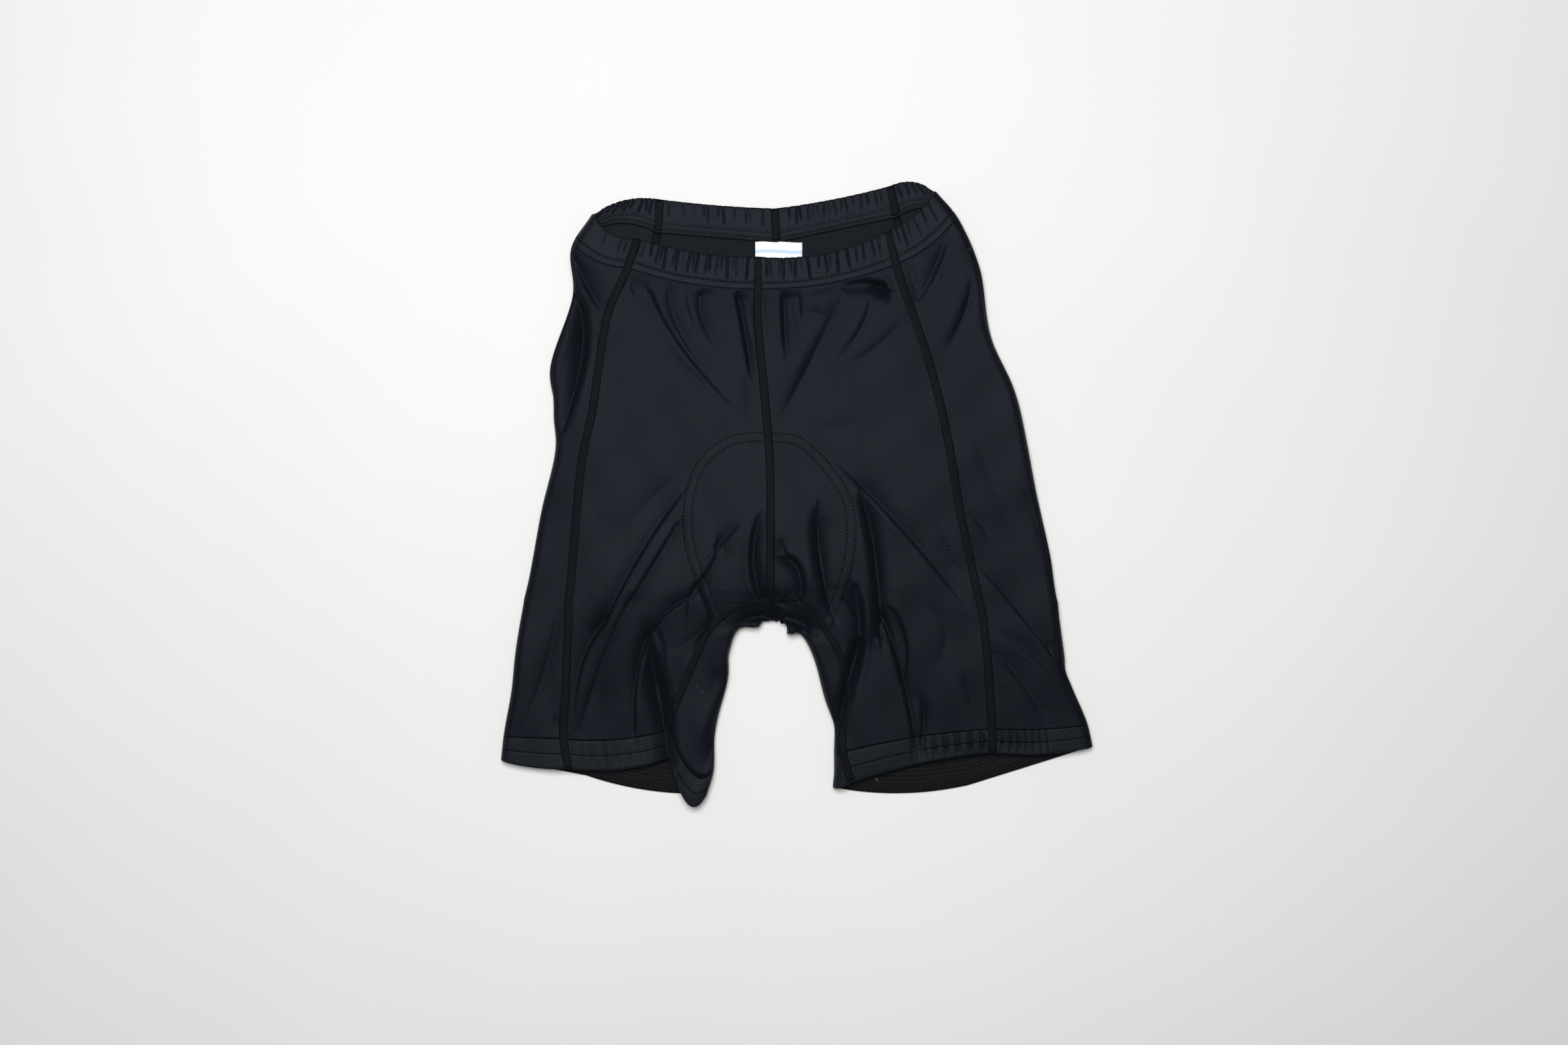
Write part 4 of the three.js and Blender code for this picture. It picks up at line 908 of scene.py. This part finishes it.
LENGTH_TURN = 1.7  # how fast lengths and leans vary from gather to gather
LEAN_TURN = 2.3
PUFF_SINK = 0.12  # how far a puff's edges sink without a gather, as a share of GATHER_DEPTH
PUFF_ROUND = 0.6
PUFF_END = 5  # millimetres over which puffs end at the stitching
TROUGH_REACH = 3  # either side
TROUGH_END = 3
TROUGH_BEND = 0.7
THIN_END = 0.12  # share of its depth with which a trough goes on to the stitching
THIN_REACH = 2


def casing_gathers():
    """Troughs round each half's casing: place as w, depth, how far down each reaches and how it leans."""
    found = {}
    for hand in (1, -1):
        places, depths = [], []
        for rows, first, last in ((FRONT_GATHERS, 0, 2), (BACK_GATHERS, 4, 2)):
            w = np.linspace(first, last, GATHER_PROBES)
            x = surface(hand, np.full(GATHER_PROBES, float(GATHER_PROBE)), w)[:, 0]
            centre = x[0]
            outermost = x[np.argmax(np.abs(x - centre))]
            low, high = sorted((centre, outermost))
            mine = [row for row in rows if low < row["x"] < high]
            order = np.argsort(x)
            places += list(np.interp([row["x"] for row in mine], x[order], w[order]))
            depths += [row["deep"] for row in mine]
        places, depths = np.array(places), np.array(depths)
        order = np.argsort(places)
        places, depths = places[order], depths[order]
        number = np.arange(len(places))
        lengths = LEAST_REACH + MORE_REACH * np.abs(np.sin(LENGTH_TURN * number + hand)) * np.sqrt(depths)
        leans = LEAN * np.sin(LEAN_TURN * number + hand)
        found[hand] = (places, depths, lengths, leans)
    return found


CASING_GATHERS = casing_gathers()


def gathered(hand, run, w, across):
    """How far the casing sinks: narrow troughs between round puffs. across is millimetres per w."""
    places, depths, lengths, leans = CASING_GATHERS[hand]
    ends = np.concatenate([[0], places, [4]])
    index = np.clip(np.searchsorted(ends, w) - 1, 0, len(ends) - 2)
    left, right = ends[index], ends[index + 1]
    t = np.clip((w - left) / (right - left), 0, 1)
    sink = PUFF_SINK * (1 - np.sin(np.pi * t) ** PUFF_ROUND) * np.clip((STITCHED_AT - run) / PUFF_END, 0, 1)
    for place, depth, length, lean in zip(places, depths, lengths, leans):
        away = (w - place) * across - lean * (run - GATHER_PROBE)
        near = np.abs(away) < TROUGH_REACH
        gate = np.clip((length - run[near]) / TROUGH_END, 0, 1) ** TROUGH_BEND
        gate += THIN_END * np.clip((STITCHED_AT - run[near]) / THIN_REACH, 0, 1)
        sink[near] += depth * rounded(away[near], TROUGH_WIDTH) * gate
    return sink


CASING_PROBES = 240


def casing_places(stretches):
    """Both halves' columns in one row, from one side over the centre to the other."""
    first, last = stretches
    places = []
    for hand in (1, -1):
        fine = np.linspace(first, last, CASING_PROBES)
        line = surface(hand, np.full(CASING_PROBES, BAND_SEAM / 2), fine)
        lengths = np.concatenate([[0], np.cumsum(np.linalg.norm(np.diff(line, axis=0), axis=1))])
        count = round(lengths[-1] / CASING_CELL)
        w = np.interp(np.linspace(0, lengths[-1], count + 1), lengths, fine)
        per_w = np.gradient(lengths, fine)
        places.append([(hand, value, across) for value, across in zip(w, np.interp(w, fine, per_w))])
    right, left = places
    return (right[::-1] + left[1:]) if first == 0 else (right + left[::-1][1:])


CASING_GROOVE = 0.45  # how deep and wide its rows of stitching sink in
CASING_GROOVE_WIDTH = 0.55
LIP_RUNS = (0, 0.3, 0.8, 1.6, 2.6)  # grid steps over the rounded edge
LIP_GATHER = 0.8  # share of the gathers at the edge, and how far down they are whole
LIP_GATHER_END = 4
LINING_SHARE = 0.8  # of the outside's relief that the inside has
EDGE_DIP = 0.6  # how far a gather draws the edge down
EDGE_DIP_END = 3


def casing(name, stretches):
    columns = casing_places(stretches)
    runs = np.concatenate([LIP_RUNS, np.arange(4, STITCHED_AT - 1, 1.5),
                           np.arange(STITCHED_AT - 0.9, BAND_SEAM + 1.4, 0.62)])
    hands = np.array([column[0] for column in columns])
    places = np.array([column[1] for column in columns])
    across = np.array([column[2] for column in columns])
    sink = np.zeros((len(runs), len(columns)))
    outer = np.zeros((len(runs), len(columns), 3))
    normals = np.zeros_like(outer)
    for hand in (1, -1):
        mine = hands == hand
        run, w = np.meshgrid(runs, places[mine], indexing="ij")
        point, outward = outside(hand, run.ravel(), w.ravel())
        outer[:, mine] = point.reshape(len(runs), -1, 3)
        normals[:, mine] = outward.reshape(len(runs), -1, 3)
        wide = np.broadcast_to(across[mine], run.shape)
        sink[:, mine] = gathered(hand, run.ravel(), w.ravel(), wide.ravel()).reshape(run.shape)
    lip_gather = mix(LIP_GATHER, 1, np.clip(runs / LIP_GATHER_END, 0, 1))[:, None]
    rows = CASING_GROOVE * sum(rounded(runs - row, CASING_GROOVE_WIDTH) for row in CASING_ROWS)
    lip = CASING / 2 * (1 - np.sqrt(1 - np.clip(1 - runs / LIP, 0, 1) ** 2))
    cut = sink * lip_gather * GATHER_DEPTH + (rows + lip)[:, None]
    facing = outer - normals * cut[..., None]
    lining = outer - normals * (CASING - cut * LINING_SHARE)[..., None]
    for grid in (facing, lining):
        grid[..., 1] -= EDGE_DIP * sink * np.clip(1 - runs[:, None] / EDGE_DIP_END, 0, 1)
        grid[..., 2] = np.maximum(grid[..., 2], LIFT / 2)
    return grid_wall(f"{name}_cloth", facing, lining, grid_chart(outer), CASING_FINISH)


def casings():
    front = casing("waistband_front", (0, 2))
    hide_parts("waistband_front")
    back = casing("waistband_back", (2, 4))
    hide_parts("waistband_back")


casings()


# Leg hems, with the width of the front hem's middle in millimetres
HEM_ROWS = (HEM_LINE + 0.6, HEM_LINE + 9.8)
HEM_STEPS = 24
HEM_FRONT_WIDTH = 110
HEM_GROOVE = 0.18  # how deep and wide its rows of stitching sink in
HEM_GROOVE_WIDTH = 0.7
HEM_LIP = 0.6  # how far its edge rounds over, and over what length
HEM_LIP_REACH = 1.2
HEM_PROUD = 0.05
LEAST_PUCKER = 0.35  # share of the puckers at the top and bottom of the hem
PUCKERS = table(
    ("side", "first", "last", "count", "depth"),
    [("right", 0.15, 1.1, 9, 0.6), ("left", 0.42, 1.62, 15, 1.7)],
)


def puckered(row, w):
    share = np.clip((w - row["first"]) / (row["last"] - row["first"]), 0, 1)
    wave = np.abs(np.sin(np.pi * row["count"] * share + 0.5 * np.sin(7 * share))) ** 4
    return row["depth"] * wave * np.sin(np.pi * share) ** 0.4


def hem(side, part):
    hand = HANDS[side]
    if part == "front":
        middle = steps_between(0, 1, HEM_FRONT_WIDTH, 0.8)
        places = np.concatenate([middle, panel_places(hand, FRONT_SIDE, 0.9)[1:]])
    else:
        places = np.concatenate([panel_places(hand, BACK_SIDE, 1), panel_places(hand, BACK_CENTRE, 1)[1:]])
    runs = np.linspace(HEM_LINE, HEM_EDGE, HEM_STEPS)
    outer = surface_grid(hand, runs, places)
    normals = grid_normals(outer, hand)
    cut = HEM_GROOVE * sum(rounded(runs - row, HEM_GROOVE_WIDTH) for row in HEM_ROWS)
    cut += HEM_LIP * (1 - np.sqrt(1 - np.clip(1 - (HEM_EDGE - runs) / HEM_LIP_REACH, 0, 1) ** 2))
    cut = np.repeat(cut[:, None], len(places), axis=1)
    if part == "front":
        row = next(row for row in PUCKERS if row["side"] == side)
        middle_most = np.sin(np.pi * np.linspace(0, 1, HEM_STEPS))
        cut += puckered(row, places)[None, :] * mix(LEAST_PUCKER, 1, middle_most)[:, None]
    facing = outer - normals * (cut - HEM_PROUD)[..., None]
    lining = outer - normals * (HEM - 0.5 * cut)[..., None]
    for grid in (facing, lining):
        grid[..., 2] = np.maximum(grid[..., 2], LIFT / 2)
    node = f"leg_hem_{part}_{side}"
    # The hem's outside takes the lighter copy of the cloth's black, which is painted light, and its inside
    # the gripper tape, whose colour is painted shade.
    piece = grid_wall(f"{node}_cloth", facing, lining, grid_chart(outer), HEM_LIT_FINISH, TAPE_SHADED_FINISH)
    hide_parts(node)


for side in HANDS:
    hem(side, "front")
    hem(side, "back")

# Seat pad and label
PAD_ROOM = 0.7  # between the pad and the cloth over it
PAD_FLOOR = 1.6
PAD_COLUMNS = 81
PAD_RUNS = 80
PAD_FLAT = 0.86  # share of its half width that is flat, and how far its edge sinks past that
PAD_EDGE_SINK = 0.5


def seat_pad():
    across = np.linspace(-1, 1, PAD_COLUMNS)
    runs = np.linspace(PAD[0]["run"], PAD[-1]["run"], PAD_RUNS)
    right = np.interp(runs, [row["run"] for row in PAD], [row["right"] for row in PAD])
    left = np.interp(runs, [row["run"] for row in PAD], [row["left"] for row in PAD])
    upper = np.zeros((len(runs), len(across), 3))
    for hand, reach, mine in ((1, right, across <= 0), (-1, left, across > 0)):
        w = np.abs(across[mine])[None, :] * reach[:, None]
        run = np.repeat(runs[:, None], w.shape[1], axis=1)
        upper[:, mine] = surface(hand, run.ravel(), w.ravel()).reshape(len(runs), -1, 3)
    lower = upper.copy()
    upper[..., 2] -= CLOTH + PAD_ROOM
    past = np.clip((np.abs(across) - PAD_FLAT) / (1 - PAD_FLAT), 0, 1)
    rounding = 1 - past ** 2 * PAD_EDGE_SINK
    upper[..., 2] = PAD_FLOOR + (upper[..., 2] - PAD_FLOOR) * rounding[None, :]
    lower[..., 2] = PAD_FLOOR
    grey = ((0.030, 0.031, 0.034), (0.045, 0.046, 0.05))
    finish = knit_finish("pad", *grey, rough=0.85, shine=0.2, sheen=0.2, wale=1.2)
    piece = grid_wall("seat_pad_foam", upper, lower, grid_chart(upper), finish)
    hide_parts("seat_pad")


LABEL = {"left": -29.5, "width": 33.5, "top": 178.6, "drop": 29, "thick": 0.45}
BLUE_BAND = (5.5, 8.0)  # where the band starts and ends, down from the label's top
SATIN_PITCH = 0.4


def label_finish():
    """White woven satin with one plain pale blue band across it."""
    finish, nodes, links, shader = new_finish("label")
    vector = weave_place(nodes)
    split = nodes.new("ShaderNodeSeparateXYZ")
    links.new(vector, split.inputs["Vector"])
    band = nodes.new("ShaderNodeValToRGB")
    band.color_ramp.interpolation = "CONSTANT"
    white, blue = (0.80, 0.82, 0.84, 1), (0.45, 0.62, 0.80, 1)
    band.color_ramp.elements[0].color = white
    band.color_ramp.elements[1].position = BLUE_BAND[0] / CHART_UNIT
    band.color_ramp.elements[1].color = blue
    after = band.color_ramp.elements.new(BLUE_BAND[1] / CHART_UNIT)
    after.color = white
    links.new(split.outputs["Y"], band.inputs["Fac"])
    links.new(band.outputs["Color"], shader.inputs["Base Color"])
    weave = nodes.new("ShaderNodeTexWave")
    weave.bands_direction = "Y"
    weave.inputs["Scale"].default_value = WAVE_PERIOD / (SATIN_PITCH / CHART_UNIT)
    links.new(vector, weave.inputs["Vector"])
    bumped(nodes, links, weave.outputs["Fac"], shader, 0.2, 0.0001)
    shader.inputs["Roughness"].default_value = 0.45
    shader.inputs["Sheen Weight"].default_value = 0.1
    return finish


def label():
    u, v = np.meshgrid(np.linspace(0, 1, 40), np.linspace(0, 1, 34))
    x = LABEL["left"] + LABEL["width"] * u
    y = LABEL["top"] - LABEL["drop"] * v + 0.5 * np.sin(u * 5)
    z = 2.1 + v * (0.5 + 0.35 * np.sin(u * 8 + 0.6)) + 0.25 * np.sin(u * 3)
    top = np.stack([x, y, z + LABEL["thick"]], axis=2)
    under = np.stack([x, y, z], axis=2)
    piece = grid_wall("label_cloth", top, under, grid_chart(top), label_finish())
    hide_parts("label")


seat_pad()
label()


# Flatlock seams, and rows of stitches
ACROSS = np.linspace(-SEAM_WIDTH / 2, SEAM_WIDTH / 2, 9)
NEEDLES = (1, 3, 5, 7)  # columns of the seam's grid that the needle threads run in
SEAM_EDGE = 0.12  # how far a seam's edge and its middle stand over the cloth
SEAM_HEIGHT = 0.4
UNDERSIDE = 0.2  # the seams' strips on the underside come no lower, so that their threads rest on the floor


def stitch_template():
    bm = bmesh.new()
    bmesh.ops.create_uvsphere(bm, u_segments=4, v_segments=2, radius=0.5)
    mesh = bpy.data.meshes.new("stitch")
    bm.to_mesh(mesh)
    bm.free()
    return mesh


STITCH = stitch_template()
STITCH_SHAPE = np.array([vert.co for vert in STITCH.vertices])[:, (2, 1, 0)]


def threads(name, places, along, up, size, finish):
    """Many small stitches joined in one piece: size is each one's length, width and height."""
    bm = bmesh.new()
    across = unit(np.cross(up, along))
    up = np.cross(along, across)
    sizes = np.broadcast_to(size, (len(places), 3))
    one = STITCH.copy()
    for place, a, b, c, (length, width, height) in zip(places, along, across, up, sizes):
        shape = STITCH_SHAPE @ np.array([a * length, b * width, c * height])
        one.vertices.foreach_set("co", ((place + shape) * MM).ravel())
        bm.from_mesh(one)
    bmesh.ops.recalc_face_normals(bm, faces=bm.faces)
    for face in bm.faces:
        face.smooth = True
    piece = finished(name, bm, finish)
    return piece


SEAM_PROBE = 0.02  # step round the shorts that shows how long one is there
SEAM_SEARCH = 1.6  # how far to either side a seam's columns are looked for, in half widths
SEAM_STEPS = 17
SEAM_MIDDLE = SEAM_STEPS // 2
LEAST_SCALE = 25


def seam_grid(hand, runs, w):
    """The outside beside a seam, in columns evenly spaced across it, with the outward directions."""
    middle = reached(hand, runs, np.full(len(runs), float(w)))
    before = reached(hand, runs, np.full(len(runs), w - SEAM_PROBE)) - middle
    after = reached(hand, runs, np.full(len(runs), w + SEAM_PROBE)) - middle
    before, after = (np.linalg.norm(way, axis=1) / SEAM_PROBE for way in (before, after))
    steps = np.linspace(-1, 1, SEAM_STEPS) * SEAM_SEARCH * SEAM_WIDTH / 2
    scale = np.where(steps[None, :] < 0, before[:, None], after[:, None])
    places = w + steps[None, :] / np.maximum(scale, LEAST_SCALE)
    run = np.repeat(runs[:, None], len(steps), axis=1)
    fine = reached(hand, run.ravel(), places.ravel()).reshape(len(runs), len(steps), 3)
    gone = np.cumsum(np.linalg.norm(np.diff(fine, axis=1), axis=2), axis=1)
    lengths = np.concatenate([np.zeros((len(runs), 1)), gone], axis=1)
    lengths -= lengths[:, SEAM_MIDDLE:SEAM_MIDDLE + 1]
    grid = np.array([
        [np.interp(ACROSS, length, column) for column in row.T] for length, row in zip(lengths, fine)
    ])
    grid = grid.transpose(0, 2, 1)
    return grid, grid_normals(grid, hand)


RUN_PROBES = 300


def even_runs(hand, first, last, w, pitch):
    """Runs that are evenly spaced along a seam."""
    fine = np.linspace(first, last, RUN_PROBES)
    line = surface(hand, fine, np.full(RUN_PROBES, float(w)))
    lengths = np.concatenate([[0], np.cumsum(np.linalg.norm(np.diff(line, axis=0), axis=1))])
    return np.interp(np.linspace(0, lengths[-1], round(lengths[-1] / pitch) + 1), lengths, fine)


SEAM_BLACK = ((0.0010, 0.0014, 0.0024), (0.0018, 0.0024, 0.0038))
SEAM_FINISH = knit_finish("seam", *SEAM_BLACK, rough=0.6, shine=0.08, sheen=0.01, wale=0.75)
SEAM_SUNK = 0.25  # how far the strip goes into the cloth
NEEDLE_STITCH = (1.2, 0.4, THREAD)
NEEDLE_PROUD = 0.04
COVER_WIDTH = 0.55  # of the threads that cross between the needle rows
COVER_PROUD = 0.1
COVER_OVERLAP = 1.15


def flatlock(name, grid, normals):
    """A flat seam that stands a little proud: four needle rows and the threads that cross between them."""
    profile = SEAM_EDGE + (SEAM_HEIGHT - SEAM_EDGE) * (1 - np.abs(ACROSS / (SEAM_WIDTH / 2)) ** 4)
    facing = grid + normals * profile[None, :, None]
    lining = grid - normals * SEAM_SUNK
    facing[..., 2] = np.maximum(facing[..., 2], UNDERSIDE)
    strip = grid_wall(f"{name}_seam", facing[::2], lining[::2], grid_chart(grid[::2]), SEAM_FINISH)
    places, along, ups, sizes = [], [], [], []
    inside = slice(1, len(grid) - 1)
    down = unit(grid[2:] - grid[:-2])
    for column in NEEDLES:
        picked = slice(0, None, 2)
        places.append((facing + normals * NEEDLE_PROUD)[inside][picked, column])
        along.append(down[picked, column])
        ups.append(normals[inside][picked, column])
        sizes.append(np.tile(NEEDLE_STITCH, (len(places[-1]), 1)))
    for first, last in zip(NEEDLES[:-1], NEEDLES[1:]):
        picked = slice(1, None, 2)
        start, end = facing[inside][picked, first], facing[inside][picked, last]
        up = normals[inside][picked, (first + last) // 2]
        places.append((start + end) / 2 + up * COVER_PROUD)
        along.append(unit(end - start))
        ups.append(up)
        lengths = np.linalg.norm(end - start, axis=1) * COVER_OVERLAP
        sizes.append(np.column_stack([lengths, np.full(len(up), COVER_WIDTH), np.full(len(up), THREAD)]))
    threads(f"{name}_threads", np.vstack(places), np.vstack(along), np.vstack(ups), np.vstack(sizes),
            THREAD_FINISH)


UNDER_PITCH = 2.4  # stitch of the seams that only the underside shows
SEAMS = table(
    ("name", "hand", "w", "first", "last", "pitch"),
    [
        ("centre_front", 1, 0, 0.8, CROTCH - 2, STITCH_PITCH),
        ("side_front_right", 1, 1, 0.8, HEM_EDGE - 0.5, STITCH_PITCH),
        ("side_front_left", -1, 1, 0.8, HEM_EDGE - 0.5, STITCH_PITCH),
        ("side_right", 1, 2, 0.8, HEM_EDGE - 0.5, STITCH_PITCH),
        ("side_left", -1, 2, 0.8, HEM_EDGE - 0.5, STITCH_PITCH),
        ("side_back_right", 1, 3, 0.8, HEM_EDGE - 0.5, UNDER_PITCH),
        ("side_back_left", -1, 3, 0.8, HEM_EDGE - 0.5, UNDER_PITCH),
        ("centre_back", 1, 4, 0.8, CROTCH - 6, UNDER_PITCH),
    ],
)


def seams():
    for row in SEAMS:
        runs = even_runs(row["hand"], row["first"], row["last"], row["w"], row["pitch"] / 2)
        grid, normals = seam_grid(row["hand"], runs, row["w"])
        if row["w"] < 3:
            grid = grid - normals * casing_sink(runs)[:, None, None]
        flatlock(row["name"], grid, normals)
    halves = []
    for hand in (1, -1):
        runs = even_runs(hand, CROTCH + 0.5, HEM_EDGE - 0.5, 0, STITCH_PITCH / 2)
        grid, normals = seam_grid(hand, runs, 0)
        halves.append((grid[::-1], normals[::-1]) if hand == 1 else (grid[:, ::-1], normals[:, ::-1]))
    grid = np.vstack([halves[0][0], halves[1][0]])
    normals = np.vstack([halves[0][1], halves[1][1]])
    flatlock("inseam", grid, normals)


def casing_sink(runs):
    """Over the casing a seam lies on the puffs' tops, a little pressed in."""
    return 0.2 * np.clip((STITCHED_AT - runs) / 6, 0, 1)


# The same seams seen on the inside of the back, in the waist's mouth: where each stops, from the waist edge
INNER_SEAMS = table(
    ("name", "hand", "w"),
    [("side_back_right_inside", 1, 3), ("side_back_left_inside", -1, 3), ("centre_back_inside", 1, 4)],
)
INNER_SEAM_END = 52


def inner_seams():
    for row in INNER_SEAMS:
        for part, first, last, thick in (
            ("band", 0.8, BAND_SEAM, CASING), ("panel", BAND_SEAM + 1.5, INNER_SEAM_END, CLOTH),
        ):
            runs = even_runs(row["hand"], first, last, row["w"], STITCH_PITCH / 2)
            grid, normals = seam_grid(row["hand"], runs, row["w"])
            flatlock(f"{row['name']}_{part}", grid - normals * (thick - 0.1), -normals)


def laid_row(name, line, normals, spacing, size, finish):
    """Stitches along a line of places that already lie on the cloth."""
    steps = np.linalg.norm(np.diff(line, axis=0), axis=1)
    lengths = np.concatenate([[0], np.cumsum(steps)])
    wanted = np.arange(spacing / 2, lengths[-1], spacing)
    places = np.column_stack([np.interp(wanted, lengths, column) for column in line.T])
    ups = unit(np.column_stack([np.interp(wanted, lengths, column) for column in normals.T]))
    ahead = np.column_stack([np.interp(wanted + 0.5, lengths, column) for column in line.T])
    behind = np.column_stack([np.interp(wanted - 0.5, lengths, column) for column in line.T])
    return threads(name, places, unit(ahead - behind), ups, size, finish)


ROW_STITCH = (2.3, 1.05, 0.3)
PAD_STITCH = (2.3, 1.05, 0.35)
OVERLOCK_STITCH = (1.5, 0.6, 0.4)
OVERLOCK_LOOP = (0.9, 1.1, 0.5)
# a thick near-black cord on the real overlocked edge, wide and dark as painted shadow under the casing's
# lower edge
OVERLOCK_SHADOW_CORD = (1.6, 1.3, 1.8)
GRIPPER_STITCH = (0.9, 0.6, 0.4)
ROW_SPACING = 2.5
ROW_PROBES = 260


def rows_round(name, run, first, last, lift, spacing=ROW_SPACING, size=ROW_STITCH,
               finish=DARK_THREAD_AND_SHADOW_FINISH, inside=False):
    """A row of stitches round both halves at one run, from w first to w last, outside or inside."""
    for side, hand in HANDS.items():
        w = np.linspace(first, last, ROW_PROBES)
        point, outward = outside(hand, np.full(len(w), float(run)), w)
        laid_row(f"{name}_{side}", point + outward * lift, -outward if inside else outward, spacing, size,
                 finish)


OVERLOCK_ROW = 19.2
OVERLOCK_LOOPS = (21.4, 22.6)
OVERLOCK_EDGE = 24.3
GRIPPER_ROWS = (5.2, 7.6, 10.0, 12.4)  # of the gripper stitching inside the back hems, past the hem line


def stitch_rows():
    rows_round("casing_row_one", STITCHED_AT, 0.03, 2.25, -0.36)
    rows_round("casing_row_two", SECOND_ROW_AT, 0.03, 2.25, -0.36)
    for number, run in enumerate(HEM_ROWS):
        rows_round(f"hem_row_{number + 1}", run, 0.03, 3.9, -0.02)
    rows_round("overlock_row", OVERLOCK_ROW, 2.25, 3.98, -CASING - 0.05, 2.2, OVERLOCK_STITCH,
               inside=True)
    for number, run in enumerate(OVERLOCK_LOOPS):
        rows_round(f"overlock_loops_{number + 1}", run, 2.25, 3.98, -CASING - 0.1, 1.7,
                   OVERLOCK_LOOP, inside=True)
    # The near-black cord along the casing's lower edge is painted shadow, for the shadow under that edge,
    # over the real overlocked edge.
    rows_round("overlock_edge", OVERLOCK_EDGE, 2.25, 3.98, -CASING + 0.5, 1.2, OVERLOCK_SHADOW_CORD,
               inside=True)
    for number, past in enumerate(GRIPPER_ROWS):
        rows_round(f"gripper_row_{number + 1}", HEM_LINE + past, 2.6, 3.92, -HEM - 0.12, 2.3,
                   GRIPPER_STITCH, GRIPPER_FINISH, True)


def lying_on(pieces, places):
    """Where lines straight down through the given places first meet the pieces, in millimetres."""
    found = []
    for x, y in places:
        hits = []
        for piece in pieces:
            hit, spot, normal, _ = piece.ray_cast(Vector((x * MM, y * MM, 0.1)), Vector((0, 0, -1)))
            if hit:
                hits.append((spot.z, tuple(spot / MM), tuple(normal)))
        if hits:
            found.append(max(hits)[1:])
    return np.array([spot for spot, _ in found]), np.array([normal for _, normal in found])


def pad_rows():
    line = smooth_line([(row["x"], row["y"]) for row in PAD_EDGE], ROW_PROBES)
    way = np.gradient(line, axis=0)
    inward = unit(np.column_stack([way[:, 1], -way[:, 0]]))
    for name, offset in (("outer", 0), ("inner", PAD_ROWS_APART)):
        spots, normals = lying_on(panels, line + inward * offset)
        laid_row(f"pad_row_{name}", spots, normals, ROW_SPACING, PAD_STITCH, DARK_THREAD_AND_SHADOW_FINISH)


# Loose ends of white thread: middle, way it points and length
LOOSE_THICK = 0.35
LOOSE_THREADS = table(
    ("x", "y", "turn", "length"),
    [
        (-33.5, 181, 20, 1.2), (-5, 178.8, 70, 1.2), (33, 193.5, 10, 0.9), (-63.5, 184, 40, 0.8),
        (-70.5, -136.5, 50, 0.5), (-66, -141, 20, 0.5), (122, 172, -70, 1.0), (57, -204, -35, 4.5),
    ],
)


def loose_threads():
    shown = [piece for piece in bpy.data.objects if piece.type == "MESH" and piece.name.endswith("_cloth")]
    spots, normals = lying_on(shown, [(row["x"], row["y"]) for row in LOOSE_THREADS])
    turns = np.radians([row["turn"] for row in LOOSE_THREADS])
    along = np.column_stack([np.cos(turns), np.sin(turns), np.zeros(len(turns))])
    sizes = [(row["length"], LOOSE_THICK, LOOSE_THICK) for row in LOOSE_THREADS]
    threads("loose_threads", spots + normals * 0.25, along, normals, sizes, LIGHT_THREAD_FINISH)


seams()
inner_seams()
stitch_rows()
pad_rows()
loose_threads()
# Floor, light and camera
FLOOR_SIDE = 9.0
PHOTO_SIZE = (2353, 1568)
PIXEL = 0.475 * MM  # one pixel of the photograph on the floor
CAMERA_PLACE = (-0.0090, -0.0211)
LENS = 50.0
SENSOR = 36.0


def floor():
    bm = bmesh.new()
    bmesh.ops.create_grid(bm, x_segments=1, y_segments=1, size=FLOOR_SIDE / 2)
    finish, nodes, links, shader = new_finish("floor")
    place = nodes.new("ShaderNodeTexCoord").outputs["Object"]
    shade = mottled(nodes, links, place, 2, (0.80, 0.80, 0.81), (0.83, 0.83, 0.83))
    links.new(shade, shader.inputs["Base Color"])
    shader.inputs["Roughness"].default_value = 0.6
    shader.inputs["Specular IOR Level"].default_value = 0.2
    mesh = bpy.data.meshes.new("floor")
    bm.to_mesh(mesh)
    bm.free()
    mesh.materials.append(finish)
    piece = bpy.data.objects.new("floor", mesh)
    bpy.context.scene.collection.objects.link(piece)


def soft_light(name, place, target, side, watts, colour):
    light = bpy.data.lights.new(name, "AREA")
    light.shape = "DISK"
    light.size = side
    light.energy = watts
    light.color = colour
    lamp = bpy.data.objects.new(name, light)
    lamp.location = place
    lamp.rotation_euler = (Vector(target) - Vector(place)).to_track_quat("-Z", "Y").to_euler()
    bpy.context.scene.collection.objects.link(lamp)


def studio():
    world = bpy.data.worlds.new("studio")
    world.use_nodes = True
    sky = world.node_tree.nodes["Background"]
    sky.inputs["Color"].default_value = (0.97, 0.985, 1.0, 1)
    sky.inputs["Strength"].default_value = 0.16
    bpy.context.scene.world = world
    soft_light("overhead light", (-0.12, 0.32, 1.65), (-0.1, 0.3, 0), 0.9, 30, (1.0, 0.99, 0.975))


def camera():
    lens = bpy.data.cameras.new("camera")
    lens.lens = LENS
    lens.sensor_width = SENSOR
    lens.clip_start = 0.01
    eye = bpy.data.objects.new("camera", lens)
    height = PHOTO_SIZE[0] * PIXEL * LENS / SENSOR
    eye.location = (*CAMERA_PLACE, height)
    bpy.context.scene.collection.objects.link(eye)
    bpy.context.scene.camera = eye
    bpy.context.scene.view_settings.view_transform = "Standard"


floor()
studio()
camera()
